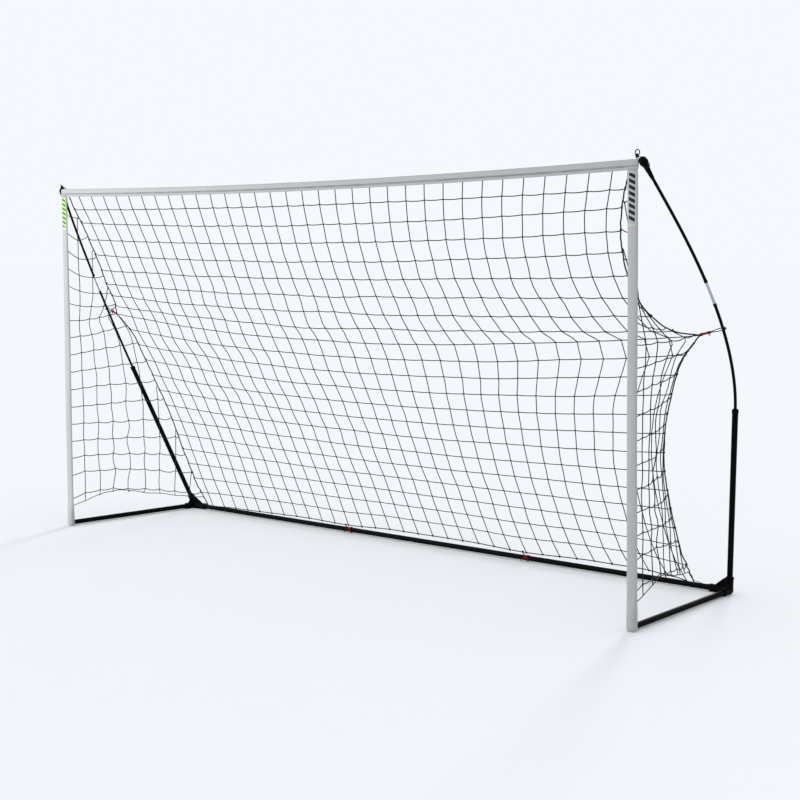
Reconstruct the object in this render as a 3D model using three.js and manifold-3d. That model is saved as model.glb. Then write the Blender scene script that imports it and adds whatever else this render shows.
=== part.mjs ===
// A portable bow-frame soccer goal. A base of steel tubes lies on the ground, two springy
// poles rise from its rear corners and bow forward, and elastics at their tips hold up a
// fabric mouth (two post sleeves and a crossbar sleeve) with a net hung behind it.
import * as THREE from 'three';
import { mergeVertices } from 'three/addons/utils/BufferGeometryUtils.js';
import Module from 'manifold-3d';

const wasm = await Module();
wasm.setup();

// ---------------------------------------------------------------- driving dimensions, mm
// X runs across the mouth, Y runs back from the goal line, Z is up.
const MOUTH = 3660;          // between the post sleeves' centres, on the ground
const MOUTH_TOP = 3631;      // the same under the crossbar
const HEIGHT = 1830;         // ground to the top of the crossbar's ends
const SAG = 25;              // how far the crossbar hangs in the middle
const DEPTH = 837;           // goal line to the rear bar's centre line
const REAR_WIDTH = 3550;     // between the rear corner hubs' centres
const GAP = 0.3;             // clearance between neighbouring pieces

const TUBE_R = 12.5;         // 25 mm base tube
const TUBE_BORE = 11.3;
const TUBE_Z = 16;           // height of the base tubes' centre lines
const SPIGOT_R = 11.0;       // inner sleeve at the rear bar's joints
const SPIGOT_BORE = 9.8;
const SPIGOT_REACH = 60;     // how far a spigot runs to each side of its joint
const JOINT_LEFT = -447;     // X of the rear bar's two joints
const JOINT_RIGHT = 722;
const JOINT_PIN = 25;        // from a joint's edge to its snap button
const TIE_LEFT = -503;       // X of the two red ties
const TIE_RIGHT = 677;

const SOCKET_R = 16.5;       // corner fitting's sockets
const SOCKET_BORE = 12.8;
const LIP_R = 18.2;          // thickened rim of each socket
const LIP = 6;
const HUB = 20;              // solid core before each socket's bore begins
const SOCKET_REAR = 92;      // socket lengths from the hub's centre
const SOCKET_SIDE = 64;
const SOCKET_UP = 66;
const SOCKET_PIN = 15;       // from a socket's rim back to its snap button
const WEB = 12;              // thickness of the gussets from the upright to both bars

const PIN_R = 3.5;           // snap button, its hole, its leaf spring
const PIN_HOLE = 3.9;
const LEAF_W = 8;
const LEAF_T = 0.8;
const LEAF_TOP = 8;          // the moving leg's outer face, from the tube's axis
const LEAF_BACK = 8;         // the leg runs this far behind the button
const LEAF_RUN = 32;         // and this far ahead of it
const BEND_R = 7.5;
const PIN_TOP_JOINT = 15.3;  // button heads, from the tube's axis
const PIN_TOP_SOCKET = 18.3;

const POLE_R = 6.3;          // tubular fibreglass pole
const POLE_BORE = 4.2;
const POLE_SEATED = 120;     // length of pole inside the upright
const COLLAR_H = 14;         // bush at the upright's top
const COLLAR_R = 14;
const COLLAR_DEEP = 40;
const FERRULE_START = 486;   // bare steel ferrule, measured along the bow from the collar
const FERRULE_END = 580;
const FERRULE_R = 5.6;
const FERRULE_CORE = 3.7;
const FERRULE_GRIP = 28;     // how far its core runs into each pole
const RING_R = 7.3;          // crimped rings on the pole ends
const RING_BORE = 6.6;
const RING_H = 12;
const BALL_R = 18;           // tip ball, 36 mm across and 44 mm long
const BALL_HALF = 22;
const TIP_SLEEVE = 50;       // tapered sleeve under the ball
const BUNGEE_AT = 380;       // where the bungee loops round the bow

const SLEEVE_HALF = 24;      // post sleeve: half width, half thickness high up and in the foot
const SLEEVE_THIN = 7;
const SLEEVE_FOOT = 15;
const BAR_HALF = 20;         // crossbar sleeve: half height
const CLOTH = 1.5;           // coated fabric
const CORD_R = 1.75;         // elastic cord
const TIE_R = 1.2;
const NET_T = 1;             // the net's cloth stand-in thickness

const v = (x, y, z) => new THREE.Vector3(x, y, z);
const hub = v(REAR_WIDTH / 2, DEPTH, TUBE_Z);
const front = v(MOUTH / 2, 0, TUBE_Z);
// The bow, from the top of the upright's collar to the tip ball, as a cubic curve.
const bow = new THREE.CubicBezierCurve3(
  v(1958.9, 543.7, 837), v(2052.6, 394.3, 1255.1), v(1879, 66.2, 1709), v(1854, 19, 1820.5));
// The net's rear corner seam, from the mouth's top corner to the ground. It is pulled out to
// the bow at its fifth point.
const seamUpper = [v(1788, 10, 1786), v(1735, 48, 1650), v(1699, 108, 1480), v(1731, 231, 1270),
  v(1888, 386, 1147)];
const seamLower = [v(1888, 386, 1147), v(1764, 425, 1000), v(1681, 471, 800), v(1628, 536, 600),
  v(1612, 612, 400), v(1610, 701, 200), v(1618, 800, 32)];
// The net's middle, hanging from the crossbar, then drawn down to the rear bar.
const midUpper = [v(0, 0, 1763), v(0, 35, 1611), v(0, 95, 1440), v(0, 210, 1200), v(0, 305, 1057)];
const midLower = [v(0, 305, 1057), v(0, 470, 713), v(0, 635, 369), v(0, 800, 26)];

// ---------------------------------------------------------------- materials
function paint(color, roughness, metalness = 0) {
  return new THREE.MeshStandardMaterial({ color, roughness, metalness });
}
const powderCoat = paint(0x0c0c0e, 0.42, 0.2);
const zincTube = paint(0x8d9094, 0.45, 0.9);
const blackPlastic = paint(0x101012, 0.55);
const fibreglass = paint(0x0b0b0d, 0.35);
const bareSteel = paint(0x8a8c90, 0.3, 1);
const springSteel = paint(0x6d6f73, 0.35, 1);
const buttonSteel = paint(0x2a2b2e, 0.35, 0.9);
const coatedCloth = paint(0xb9babd, 0.6);
const netTwine = paint(0x17171a, 0.9);
const blackElastic = paint(0x0e0e10, 0.85);
const redElastic = paint(0x7c1217, 0.8);

// ---------------------------------------------------------------- shared makers
// Keeps a geometry's positions only, drops empty triangles and turns it to face outwards.
function solid(geometry) {
  geometry.deleteAttribute('normal');
  geometry.deleteAttribute('uv');
  const merged = mergeVertices(geometry, 1e-4);
  const index = merged.index.array;
  const at = (i) => v(0, 0, 0).fromBufferAttribute(merged.attributes.position, i);
  const faces = [];
  let volume = 0;
  for (let i = 0; i < index.length; i += 3) {
    const [a, b, c] = [index[i], index[i + 1], index[i + 2]];
    if (a === b || b === c || c === a) continue;
    faces.push([a, b, c]);
    volume += at(a).dot(at(b).cross(at(c)));
  }
  merged.setIndex(faces.flatMap(([a, b, c]) => (volume > 0 ? [a, b, c] : [a, c, b])));
  return merged;
}

// Turns a profile of [radius, z] points about Z.
function lathe(profile, sides = 24) {
  const points = profile.map(([r, z]) => new THREE.Vector2(r, z));
  return solid(new THREE.LatheGeometry(points, sides).rotateX(Math.PI / 2));
}

function rod(radius, from, to, sides = 24) {
  return lathe([[0, from], [radius, from], [radius, to], [0, to]], sides);
}

function pipe(radius, bore, from, to) {
  return lathe([[bore, from], [radius, from], [radius, to], [bore, to], [bore, from]]);
}

// Sweeps a round section, hollow if it has a bore, along a list of points.
function sweep(points, radius, { bore = 0, steps = 16, sides = 12, boreSides = 8 } = {}) {
  const ring = (r, count) => Array.from({ length: count }, (_, i) => new THREE.Vector2(
    r * Math.cos(2 * Math.PI * i / count), r * Math.sin(2 * Math.PI * i / count)));
  const shape = new THREE.Shape(ring(radius, sides));
  if (bore > 0) shape.holes.push(new THREE.Path(ring(bore, boreSides)));
  const extrudePath = new THREE.CatmullRomCurve3(points);
  return solid(new THREE.ExtrudeGeometry(shape, { steps, extrudePath, bevelEnabled: false }));
}

function toManifold(geometry) {
  return new wasm.Manifold(new wasm.Mesh({
    numProp: 3,
    vertProperties: new Float32Array(geometry.attributes.position.array),
    triVerts: new Uint32Array(geometry.index.array),
  }));
}

function fromManifold(manifold) {
  const { vertProperties, triVerts } = manifold.getMesh();
  const geometry = new THREE.BufferGeometry();
  geometry.setAttribute('position', new THREE.BufferAttribute(new Float32Array(vertProperties), 3));
  geometry.setIndex(Array.from(triVerts));
  return geometry;
}

function cut(body, ...tools) {
  return fromManifold(tools.reduce((left, tool) => left.subtract(toManifold(tool)), toManifold(body)));
}

function join(...parts) {
  return fromManifold(parts.map(toManifold).reduce((sum, part) => sum.add(part)));
}

// The pose that puts local +Z along a direction and local +X as near as can be to another.
function pose(origin, along, side) {
  const z = along.clone().normalize();
  const x = side.clone().addScaledVector(z, -side.dot(z)).normalize();
  return new THREE.Matrix4().makeBasis(x, z.clone().cross(x), z).setPosition(origin);
}

const flip = (vector) => v(-vector.x, vector.y, vector.z);
const mirror = (geometry) => solid(geometry.clone().scale(-1, 1, 1));

const goal = new THREE.Group();
const half = (hand) => (hand === 'left' ? flip : (vector) => vector.clone());

function add(name, geometry, material, matrix) {
  const mesh = new THREE.Mesh(geometry, material);
  mesh.name = name;
  if (matrix) matrix.decompose(mesh.position, mesh.quaternion, mesh.scale);
  goal.add(mesh);
}

// A piece drawn for the right half, and its mirror image for the left.
function addHalves(name, geometry, material) {
  add(`${name}_right`, geometry, material);
  add(`${name}_left`, mirror(geometry), material);
}

// ---------------------------------------------------------------- snap buttons
// A button is a domed pin riveted to the moving leg of a leaf spring inside the tube. The
// spring's other leg and its bend stay put. Local +X is the way the button points and local
// +Z is the way the spring runs.
function buttonShape(top) {
  const dome = [[0, LEAF_TOP - 0.4], [PIN_R, LEAF_TOP - 0.4], [PIN_R, top - 1.4],
    [PIN_R * 0.8, top - 0.5], [PIN_R * 0.4, top - 0.05], [0, top]];
  const pin = lathe(dome, 10).rotateY(Math.PI / 2);
  const leg = solid(new THREE.BoxGeometry(LEAF_T, LEAF_W, LEAF_BACK + LEAF_RUN)
    .translate(LEAF_TOP - LEAF_T / 2, 0, (LEAF_RUN - LEAF_BACK) / 2));
  return join(pin, leg);
}

function springShape() {
  const middle = LEAF_TOP - BEND_R;          // the bend's centre, in from the moving leg
  const start = LEAF_RUN + 0.6;
  const shape = new THREE.Shape();
  shape.moveTo(-LEAF_BACK, middle - BEND_R);
  shape.lineTo(start, middle - BEND_R);
  shape.absarc(start, middle, BEND_R, -Math.PI / 2, Math.PI / 2, false);
  shape.absarc(start, middle, BEND_R - LEAF_T, Math.PI / 2, -Math.PI / 2, true);
  shape.lineTo(-LEAF_BACK, middle - BEND_R + LEAF_T);
  shape.closePath();
  const strip = new THREE.ExtrudeGeometry(shape, { depth: LEAF_W, bevelEnabled: false, curveSegments: 4 });
  // the shape's X becomes local Z and its Y becomes local X
  const turn = new THREE.Matrix4().makeBasis(v(0, 0, 1), v(1, 0, 0), v(0, 1, 0));
  return solid(strip.translate(0, 0, -LEAF_W / 2).applyMatrix4(turn));
}

function addButton(name, top, origin, along, side) {
  const matrix = pose(origin, along, side);
  add(`snap_button_${name}`, buttonShape(top), buttonSteel, matrix);
  add(`button_spring_${name}`, springShape(), springSteel, matrix);
}

// A hole for a button, across a tube at one height, on the side its button points to.
function pinHole(z) {
  return solid(rod(PIN_HOLE, 2, 30, 12).rotateY(Math.PI / 2).translate(0, 0, z));
}

// ---------------------------------------------------------------- rear bar, three lengths
const up = v(0, 0, 1);
const forwardDown = v(0, -0.8, -0.6);
const inward = v(-1, 0, 0);
const rearStart = HUB + GAP;
const rearPin = SOCKET_REAR - SOCKET_PIN;

// A length of base tube with button holes at the given distances from its start.
function baseTube(length, holes) {
  return cut(pipe(TUBE_R, TUBE_BORE, 0, length), ...holes);
}

function addRearBar() {
  const leftHub = flip(hub);
  const leftLength = JOINT_LEFT - leftHub.x - rearStart;
  const leftHoles = [pinHole(rearPin - rearStart), pinHole(leftLength - JOINT_PIN)];
  add('rear_bar_left', baseTube(leftLength, leftHoles), powderCoat,
    pose(leftHub.clone().addScaledVector(inward, -rearStart), v(1, 0, 0), up));

  // the centre length: a spigot in its left end, a button hole in its right
  const centreLength = JOINT_RIGHT - JOINT_LEFT - GAP;
  const centreHole = pinHole(centreLength - JOINT_PIN);
  add('rear_bar_centre', baseTube(centreLength, [centreHole]), powderCoat,
    pose(v(JOINT_LEFT + GAP, DEPTH, TUBE_Z), v(1, 0, 0), forwardDown));

  const rightLength = hub.x - JOINT_RIGHT - rearStart - GAP;
  const rightHole = pinHole(rearPin - rearStart);
  add('rear_bar_right', baseTube(rightLength, [rightHole]), powderCoat,
    pose(hub.clone().addScaledVector(inward, rearStart), inward, up));

  for (const [hand, joint, side] of [['left', JOINT_LEFT, up], ['right', JOINT_RIGHT, forwardDown]]) {
    const spigot = pipe(SPIGOT_R, SPIGOT_BORE, -SPIGOT_REACH, SPIGOT_REACH);
    add(`rear_spigot_${hand}`, cut(spigot, pinHole(-JOINT_PIN)), zincTube,
      pose(v(joint, DEPTH, TUBE_Z), v(1, 0, 0), side));
    addButton(`rear_joint_${hand}`, PIN_TOP_JOINT, v(joint - JOINT_PIN, DEPTH, TUBE_Z), v(1, 0, 0), side);
  }
}

// ---------------------------------------------------------------- corners
const sideAlong = front.clone().sub(hub).normalize();
const upAlong = bow.v0.clone().sub(hub).normalize();
const sidePin = SOCKET_SIDE - SOCKET_PIN;
const upPin = SOCKET_UP - SOCKET_PIN;
const backward = v(0, 1, 0);

// A moulded three-way fitting with a gusset from the upright to each bar, its underside cut
// flat where it stands on the ground. Drawn about the right hub's centre.
function cornerShape() {
  const arms = [[inward, SOCKET_REAR, rearPin, up], [sideAlong, SOCKET_SIDE, sidePin, up],
    [upAlong, SOCKET_UP, upPin, backward]];
  const bodies = [solid(new THREE.SphereGeometry(SOCKET_R + 1, 16, 10))];
  const bores = [];
  for (const [along, length, pin, side] of arms) {
    const matrix = pose(v(0, 0, 0), along, side);
    const outline = [[0, 0], [SOCKET_R, 0], [SOCKET_R, length - LIP - 1.5], [LIP_R, length - LIP],
      [LIP_R, length - 1], [LIP_R - 1, length], [0, length]];
    bodies.push(solid(lathe(outline).applyMatrix4(matrix)));
    bores.push(solid(rod(SOCKET_BORE, HUB, length + 5).applyMatrix4(matrix)));
    bores.push(solid(pinHole(pin).applyMatrix4(matrix)));
  }
  // gusset outlines: X runs along a bar, Y up the upright's side of the corner
  for (const [along, foot] of [[inward, 68], [sideAlong, 41]]) {
    const slope = upAlong.clone().addScaledVector(along, -upAlong.dot(along)).normalize();
    const web = new THREE.Shape([[4, 6], [foot, 6], [foot, 18], [foot * 0.4, 50], [8, 62], [-6, 58]]
      .map(([x, y]) => new THREE.Vector2(x, y)));
    const plate = new THREE.ExtrudeGeometry(web, { depth: WEB, bevelEnabled: false });
    const basis = new THREE.Matrix4().makeBasis(along, slope, along.clone().cross(slope));
    bodies.push(solid(plate.translate(0, 0, -WEB / 2).applyMatrix4(basis)));
  }
  const ground = new THREE.BoxGeometry(400, 400, 40).translate(0, 0, -TUBE_Z - 20);
  return cut(join(...bodies), ...bores, solid(ground));
}

function addCorners() {
  const right = cornerShape();
  add('corner_right', right, blackPlastic, new THREE.Matrix4().setPosition(hub));
  add('corner_left', mirror(right), blackPlastic, new THREE.Matrix4().setPosition(flip(hub)));
  for (const hand of ['left', 'right']) {
    const to = half(hand);
    const centre = to(hub);
    for (const [name, along, pin, side] of [['rear', inward, rearPin, up],
      ['side', sideAlong, sidePin, up], ['upright', upAlong, upPin, backward]]) {
      const direction = to(along);
      addButton(`${name}_${hand}`, PIN_TOP_SOCKET, centre.clone().addScaledVector(direction, pin),
        direction, side);
    }
  }
}

// ---------------------------------------------------------------- side bars and uprights
function addSides() {
  const reach = hub.distanceTo(front);
  const sideEnd = reach - 5;
  const upEnd = hub.distanceTo(bow.v0) - COLLAR_H;
  for (const hand of ['left', 'right']) {
    const to = half(hand);
    const centre = to(hub);
    const sideDir = to(sideAlong);
    const upDir = to(upAlong);
    add(`side_bar_${hand}`, baseTube(sideEnd - HUB - GAP, [pinHole(sidePin - HUB - GAP)]), powderCoat,
      pose(centre.clone().addScaledVector(sideDir, HUB + GAP), sideDir, up));
    // plug in the bar's front end, inside the sleeve's foot pocket
    const cap = [[0, -22], [SPIGOT_R - 1, -22], [SPIGOT_R, -20], [SPIGOT_R, GAP], [TUBE_R, GAP],
      [TUBE_R, 4], [TUBE_R - 3, 7.5], [0, 8.3]];
    add(`front_cap_${hand}`, lathe(cap, 24), blackPlastic,
      pose(centre.clone().addScaledVector(sideDir, sideEnd), sideDir, up));
    add(`upright_${hand}`, baseTube(upEnd - HUB - GAP, [pinHole(upPin - HUB - GAP)]), powderCoat,
      pose(centre.clone().addScaledVector(upDir, HUB + GAP), upDir, backward));
    // bush that guides the pole into the upright
    const bore = POLE_R + 0.4;
    const collar = [[bore, -COLLAR_DEEP], [SPIGOT_R, -COLLAR_DEEP], [SPIGOT_R, GAP], [COLLAR_R, GAP],
      [COLLAR_R, COLLAR_H - 2], [COLLAR_R - 1.5, COLLAR_H], [bore + 0.6, COLLAR_H],
      [bore, COLLAR_H - 1], [bore, -COLLAR_DEEP]];
    const top = centre.clone().addScaledVector(upDir, upEnd);
    add(`pole_collar_${hand}`, lathe(collar, 24), blackPlastic, pose(top, upDir, backward));
    // dished plug that the pole's foot stands on
    const floor = COLLAR_H - POLE_SEATED - GAP;
    const seat = [[0, floor - 14], [SPIGOT_R, floor - 14], [SPIGOT_R, floor + 3], [POLE_R + 1, floor + 3],
      [POLE_R + 0.5, floor], [0, floor]];
    add(`pole_seat_${hand}`, lathe(seat, 24), blackPlastic, pose(top, upDir, backward));
  }
}

// ---------------------------------------------------------------- bows
const bowLength = bow.getLength();
const tipStart = bowLength - BALL_HALF - TIP_SLEEVE;
const bowAt = (arc) => bow.getPointAt(Math.min(Math.max(arc / bowLength, 0), 1));
const tipFrom = bowAt(tipStart);
const tipAlong = bow.getTangentAt(tipStart / bowLength);
const ballCentre = tipFrom.clone().addScaledVector(tipAlong, BALL_HALF + TIP_SLEEVE);

// A point of the pole's centre line. It is straight inside the upright and inside the tip.
function poleAt(arc) {
  if (arc < 0) return bow.v0.clone().addScaledVector(upAlong, arc);
  if (arc > tipStart) return tipFrom.clone().addScaledVector(tipAlong, arc - tipStart);
  return bowAt(arc);
}

function poleSpan(from, to, count) {
  return Array.from({ length: count + 1 }, (_, i) => poleAt(from + (to - from) * i / count));
}

function addBows() {
  const lower = sweep(poleSpan(-POLE_SEATED, FERRULE_START - GAP, 24), POLE_R, { bore: POLE_BORE, steps: 16 });
  addHalves('pole_lower', lower, fibreglass);
  const poleEnd = tipStart + TIP_SLEEVE + 5;
  const upper = sweep(poleSpan(FERRULE_END + GAP, poleEnd, 20), POLE_R, { bore: POLE_BORE, steps: 13 });
  addHalves('pole_upper', upper, fibreglass);

  const shell = sweep(poleSpan(FERRULE_START, FERRULE_END, 6), FERRULE_R, { steps: 3 });
  const core = sweep(poleSpan(FERRULE_START - FERRULE_GRIP, FERRULE_END + FERRULE_GRIP, 8),
    FERRULE_CORE, { steps: 5 });
  addHalves('ferrule', join(shell, core), bareSteel);
  const rings = [['lower', FERRULE_START - RING_H], ['upper', FERRULE_END + 1]];
  for (const [name, from] of rings) {
    const ring = sweep(poleSpan(from, from + RING_H - 1, 2), RING_R,
      { bore: RING_BORE, steps: 1, sides: 16, boreSides: 16 });
    addHalves(`pole_ring_${name}`, ring, bareSteel);
  }

  // tip ball with its tapered sleeve and the blind bore that takes the pole's end
  const deep = BALL_HALF - 5.6;
  const bore = POLE_R + 0.4;
  const foot = -BALL_HALF - TIP_SLEEVE;
  const ball = [[0, -deep + 0.4], [bore, -deep + 0.4], [bore, foot], [7.6, foot], [11, -BALL_HALF]];
  for (let i = 2; i <= 12; i += 1) {
    const angle = Math.PI * i / 12;
    const radius = BALL_R * Math.sin(angle);
    if (radius > 11 || i > 6) ball.push([i === 12 ? 0 : radius, -BALL_HALF * Math.cos(angle)]);
  }
  const tip = lathe(ball, 20).applyMatrix4(pose(ballCentre, tipAlong, v(1, 0, 0)));
  addHalves('tip_ball', solid(tip), blackPlastic);
}

// ---------------------------------------------------------------- fabric mouth
const postX = (z) => MOUTH / 2 + (MOUTH_TOP - MOUTH) / 2 * z / HEIGHT;
const barTop = (x) => HEIGHT - SAG * (1 - (2 * x / MOUTH_TOP) ** 2);
const ramp = (value, from, to) => THREE.MathUtils.smoothstep(value, from, to);

// Moves every corner point of a geometry.
function shapeBy(geometry, move) {
  const points = geometry.attributes.position;
  for (let i = 0; i < points.count; i += 1) {
    const moved = move(v(0, 0, 0).fromBufferAttribute(points, i));
    points.setXYZ(i, moved.x, moved.y, moved.z);
  }
  return solid(geometry);
}

// A flattened upright tube of cloth, shrunk all round by an inset, wider front to back in
// the foot pocket that holds the side bar's end.
function postBlank(inset, top) {
  const foot = inset;
  const profile = [[0, foot], [0.8, foot], [0.96, foot + 4], [1, foot + 12], [1, 45], [1, 100],
    [1, 140], [1, top], [0, top]];
  return shapeBy(lathe(profile, 16), (p) => {
    const deep = THREE.MathUtils.lerp(SLEEVE_FOOT, SLEEVE_THIN, ramp(p.z, 45, 140)) - inset;
    return v(postX(p.z) + p.x * (SLEEVE_HALF - inset), p.y * deep, p.z);
  });
}

// The crossbar's flattened tube, hanging a little in the middle and closing at its ends.
function barBlank(inset) {
  const end = postX(HEIGHT) + SLEEVE_HALF - inset;
  const stations = [1, 0.993, 0.985, 0.75, 0.5, 0.25];
  const profile = [[0, -end], ...stations.map((s) => [1, -end * s]), [1, 0],
    ...stations.slice().reverse().map((s) => [1, end * s]), [0, end]];
  return shapeBy(lathe(profile, 12).rotateY(Math.PI / 2), (p) => {
    const near = ramp(Math.abs(p.x) / end, 0.985, 1);
    const deep = THREE.MathUtils.lerp(SLEEVE_THIN, 2.6, near) - inset * (1 - 0.4 * near);
    return v(p.x, p.y * deep, barTop(p.x) - BAR_HALF + p.z * (BAR_HALF - inset));
  });
}

function addMouth() {
  const postTop = HEIGHT - 2 * BAR_HALF - 1.2;
  const reach = hub.distanceTo(front);
  const barHole = rod(TUBE_R + 0.8, reach - 60, reach + 4).applyMatrix4(pose(hub, sideAlong, up));
  const post = cut(postBlank(0, postTop), postBlank(CLOTH, postTop + 5), solid(barHole));
  addHalves('post_sleeve', post, coatedCloth);
  const openings = [-1, 1].map((s) => solid(new THREE.BoxGeometry(30, 6, 30)
    .translate(s * postX(HEIGHT), 0, HEIGHT - 2 * BAR_HALF)));
  add('crossbar_sleeve', cut(barBlank(0), barBlank(CLOTH), ...openings), coatedCloth);
}

// ---------------------------------------------------------------- net
// A thin cloth over a surface given by a function of two numbers from 0 to 1. Its two faces are
// split into triangles along the same diagonals, so they keep their distance where it is warped.
function cloth(surface, across, down) {
  const step = 1e-3;
  const points = [];
  for (const face of [0.5, -0.5]) {
    for (let j = 0; j <= down; j += 1) {
      for (let i = 0; i <= across; i += 1) {
        const [s, t] = [i / across, j / down];
        const du = surface(Math.min(s + step, 1), t).sub(surface(Math.max(s - step, 0), t));
        const dv = surface(s, Math.min(t + step, 1)).sub(surface(s, Math.max(t - step, 0)));
        const offset = du.cross(dv).normalize().multiplyScalar(face * NET_T);
        points.push(...surface(s, t).add(offset).toArray());
      }
    }
  }
  const at = (i, j, face) => (face * (down + 1) + j) * (across + 1) + i;
  const faces = [];
  const quad = (p, q, r, s) => faces.push(p, q, r, p, r, s);
  for (let j = 0; j < down; j += 1) {
    for (let i = 0; i < across; i += 1) {
      const [p, q, r, s] = [[i, j], [i + 1, j], [i + 1, j + 1], [i, j + 1]];
      quad(at(...p, 0), at(...q, 0), at(...r, 0), at(...s, 0));
      faces.push(at(...p, 1), at(...r, 1), at(...q, 1), at(...p, 1), at(...s, 1), at(...r, 1));
    }
    quad(at(0, j, 0), at(0, j + 1, 0), at(0, j + 1, 1), at(0, j, 1));
    quad(at(across, j, 0), at(across, j, 1), at(across, j + 1, 1), at(across, j + 1, 0));
  }
  for (let i = 0; i < across; i += 1) {
    quad(at(i, 0, 0), at(i, 0, 1), at(i + 1, 0, 1), at(i + 1, 0, 0));
    quad(at(i, down, 0), at(i + 1, down, 0), at(i + 1, down, 1), at(i, down, 1));
  }
  const geometry = new THREE.BufferGeometry();
  geometry.setAttribute('position', new THREE.Float32BufferAttribute(points, 3));
  geometry.setIndex(faces);
  return solid(geometry);
}

const curves = [seamUpper, seamLower, midUpper, midLower].map((list) => new THREE.CatmullRomCurve3(list));
const [seamTop, seamFoot, midTop, midFoot] = curves;
const KINK = 5 / 12;          // share of the net's height that lies above the pulled-out row

// Down the net: the upper run, then the lower one, as one number from 0 to 1.
function run(topCurve, footCurve, t) {
  return t < KINK ? topCurve.getPoint(t / KINK) : footCurve.getPoint((t - KINK) / (1 - KINK));
}

function backSurface(s, t) {
  const side = 2 * s - 1;
  const edge = run(seamTop, seamFoot, t);
  const middle = run(midTop, midFoot, t);
  const x = side * (edge.x - 1.5);
  const spread = side * side;
  const y = THREE.MathUtils.lerp(middle.y, edge.y, spread);
  const z = THREE.MathUtils.lerp(middle.z, edge.z, spread);
  const underBar = barTop(x) - 2 * BAR_HALF - 1.5;
  return v(x, y, Math.min(z, underBar));
}

function sideSurface(s, t) {
  const edge = run(seamTop, seamFoot, t);
  edge.x += 1.5;
  const z = THREE.MathUtils.lerp(1784, 150, t);
  return v(postX(z), SLEEVE_THIN + 2, z).lerp(edge, s);
}

function addNet() {
  const rows = 12;           // a row of points falls on the pulled-out row
  add('net_back', cloth((s, t) => backSurface(s, t), 10, rows), netTwine);
  addHalves('net_side', cloth((s, t) => sideSurface(s, t), 2, rows), netTwine);
}

// ---------------------------------------------------------------- elastics and ties
function addElastics() {
  // loop from the mouth's top corner over both sides of the tip ball and round its neck
  const frame = pose(ballCentre, tipAlong, v(-1, -1, 0));
  const spot = (a, b, s) => v(a, b, s).applyMatrix4(frame);
  const start = v(postX(HEIGHT) + 19, -1.5, HEIGHT + 3);
  const loop = [start, start.clone().add(v(1, -1, 12)), spot(9, 17, 18), spot(-2, 21.5, 2),
    spot(-14, 16, -14), spot(-17, 0, -26), spot(-14, -16, -14), spot(-2, -21.5, 2), spot(9, -17, 18)];
  addHalves('corner_elastic', sweep(loop, CORD_R, { steps: 20, sides: 6 }), blackElastic);

  // bungee from the net's pulled-out knot to a hitch round the bow
  const knot = seamUpper[seamUpper.length - 1];
  const centre = poleAt(BUNGEE_AT);
  const axis = poleAt(BUNGEE_AT + 5).sub(poleAt(BUNGEE_AT - 5)).normalize();
  const hitch = pose(centre, axis, knot.clone().sub(centre));
  const around = POLE_R + GAP + 0.2 + CORD_R;
  const turn = (degrees, rise) => {
    const angle = THREE.MathUtils.degToRad(degrees);
    return v(around * Math.cos(angle), around * Math.sin(angle), rise).applyMatrix4(hitch);
  };
  const away = centre.clone().sub(knot).normalize();
  const line = [knot.clone().addScaledVector(away, 5), knot.clone().addScaledVector(away, 45),
    v(18, around, -2).applyMatrix4(hitch)];
  for (let angle = 80; angle <= 290; angle += 35) line.push(turn(angle, (angle - 80) / 100 - 1));
  addHalves('bow_bungee', sweep(line, CORD_R, { steps: 20, sides: 6 }), blackElastic);

  // red ties round the rear bar, up to the net's hem
  const ring = TUBE_R + GAP + 0.5 + TIE_R;
  for (const [hand, x] of [['left', TIE_LEFT], ['right', TIE_RIGHT]]) {
    const points = [v(x - 3, DEPTH - 33, TUBE_Z + 22), v(x - 3, DEPTH - 20, TUBE_Z + 13)];
    for (let angle = 125; angle >= -160; angle -= 35) {
      const a = THREE.MathUtils.degToRad(angle);
      points.push(v(x + (125 - angle) / 60, DEPTH + ring * Math.cos(a), TUBE_Z + ring * Math.sin(a)));
    }
    add(`rear_tie_${hand}`, sweep(points, TIE_R, { steps: 20, sides: 6 }), redElastic);
  }

  // cord from each end of the net's hem to the corner fitting's rim
  const hemEnd = seamLower[seamLower.length - 1];
  const rim = v(hub.x - SOCKET_REAR - 8, DEPTH, TUBE_Z);
  const wrap = [hemEnd.clone().add(v(4, 4, 8)), v(rim.x - 6, DEPTH - 21, TUBE_Z + 12)];
  for (let angle = 125; angle >= -160; angle -= 35) {
    const a = THREE.MathUtils.degToRad(angle);
    wrap.push(v(rim.x, DEPTH + ring * Math.cos(a), TUBE_Z + ring * Math.sin(a)));
  }
  addHalves('hem_tie', sweep(wrap, TIE_R, { steps: 18, sides: 6 }), blackElastic);
}

addRearBar();
addCorners();
addSides();
addBows();
addMouth();
addNet();
addElastics();

// The origin lies on the ground under the middle of the whole goal.
const REARMOST = DEPTH + LIP_R;
goal.position.y = -(REARMOST - SLEEVE_FOOT) / 2;

export default goal;
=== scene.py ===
import math

import bpy
from mathutils import Matrix, Vector, noise


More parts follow.
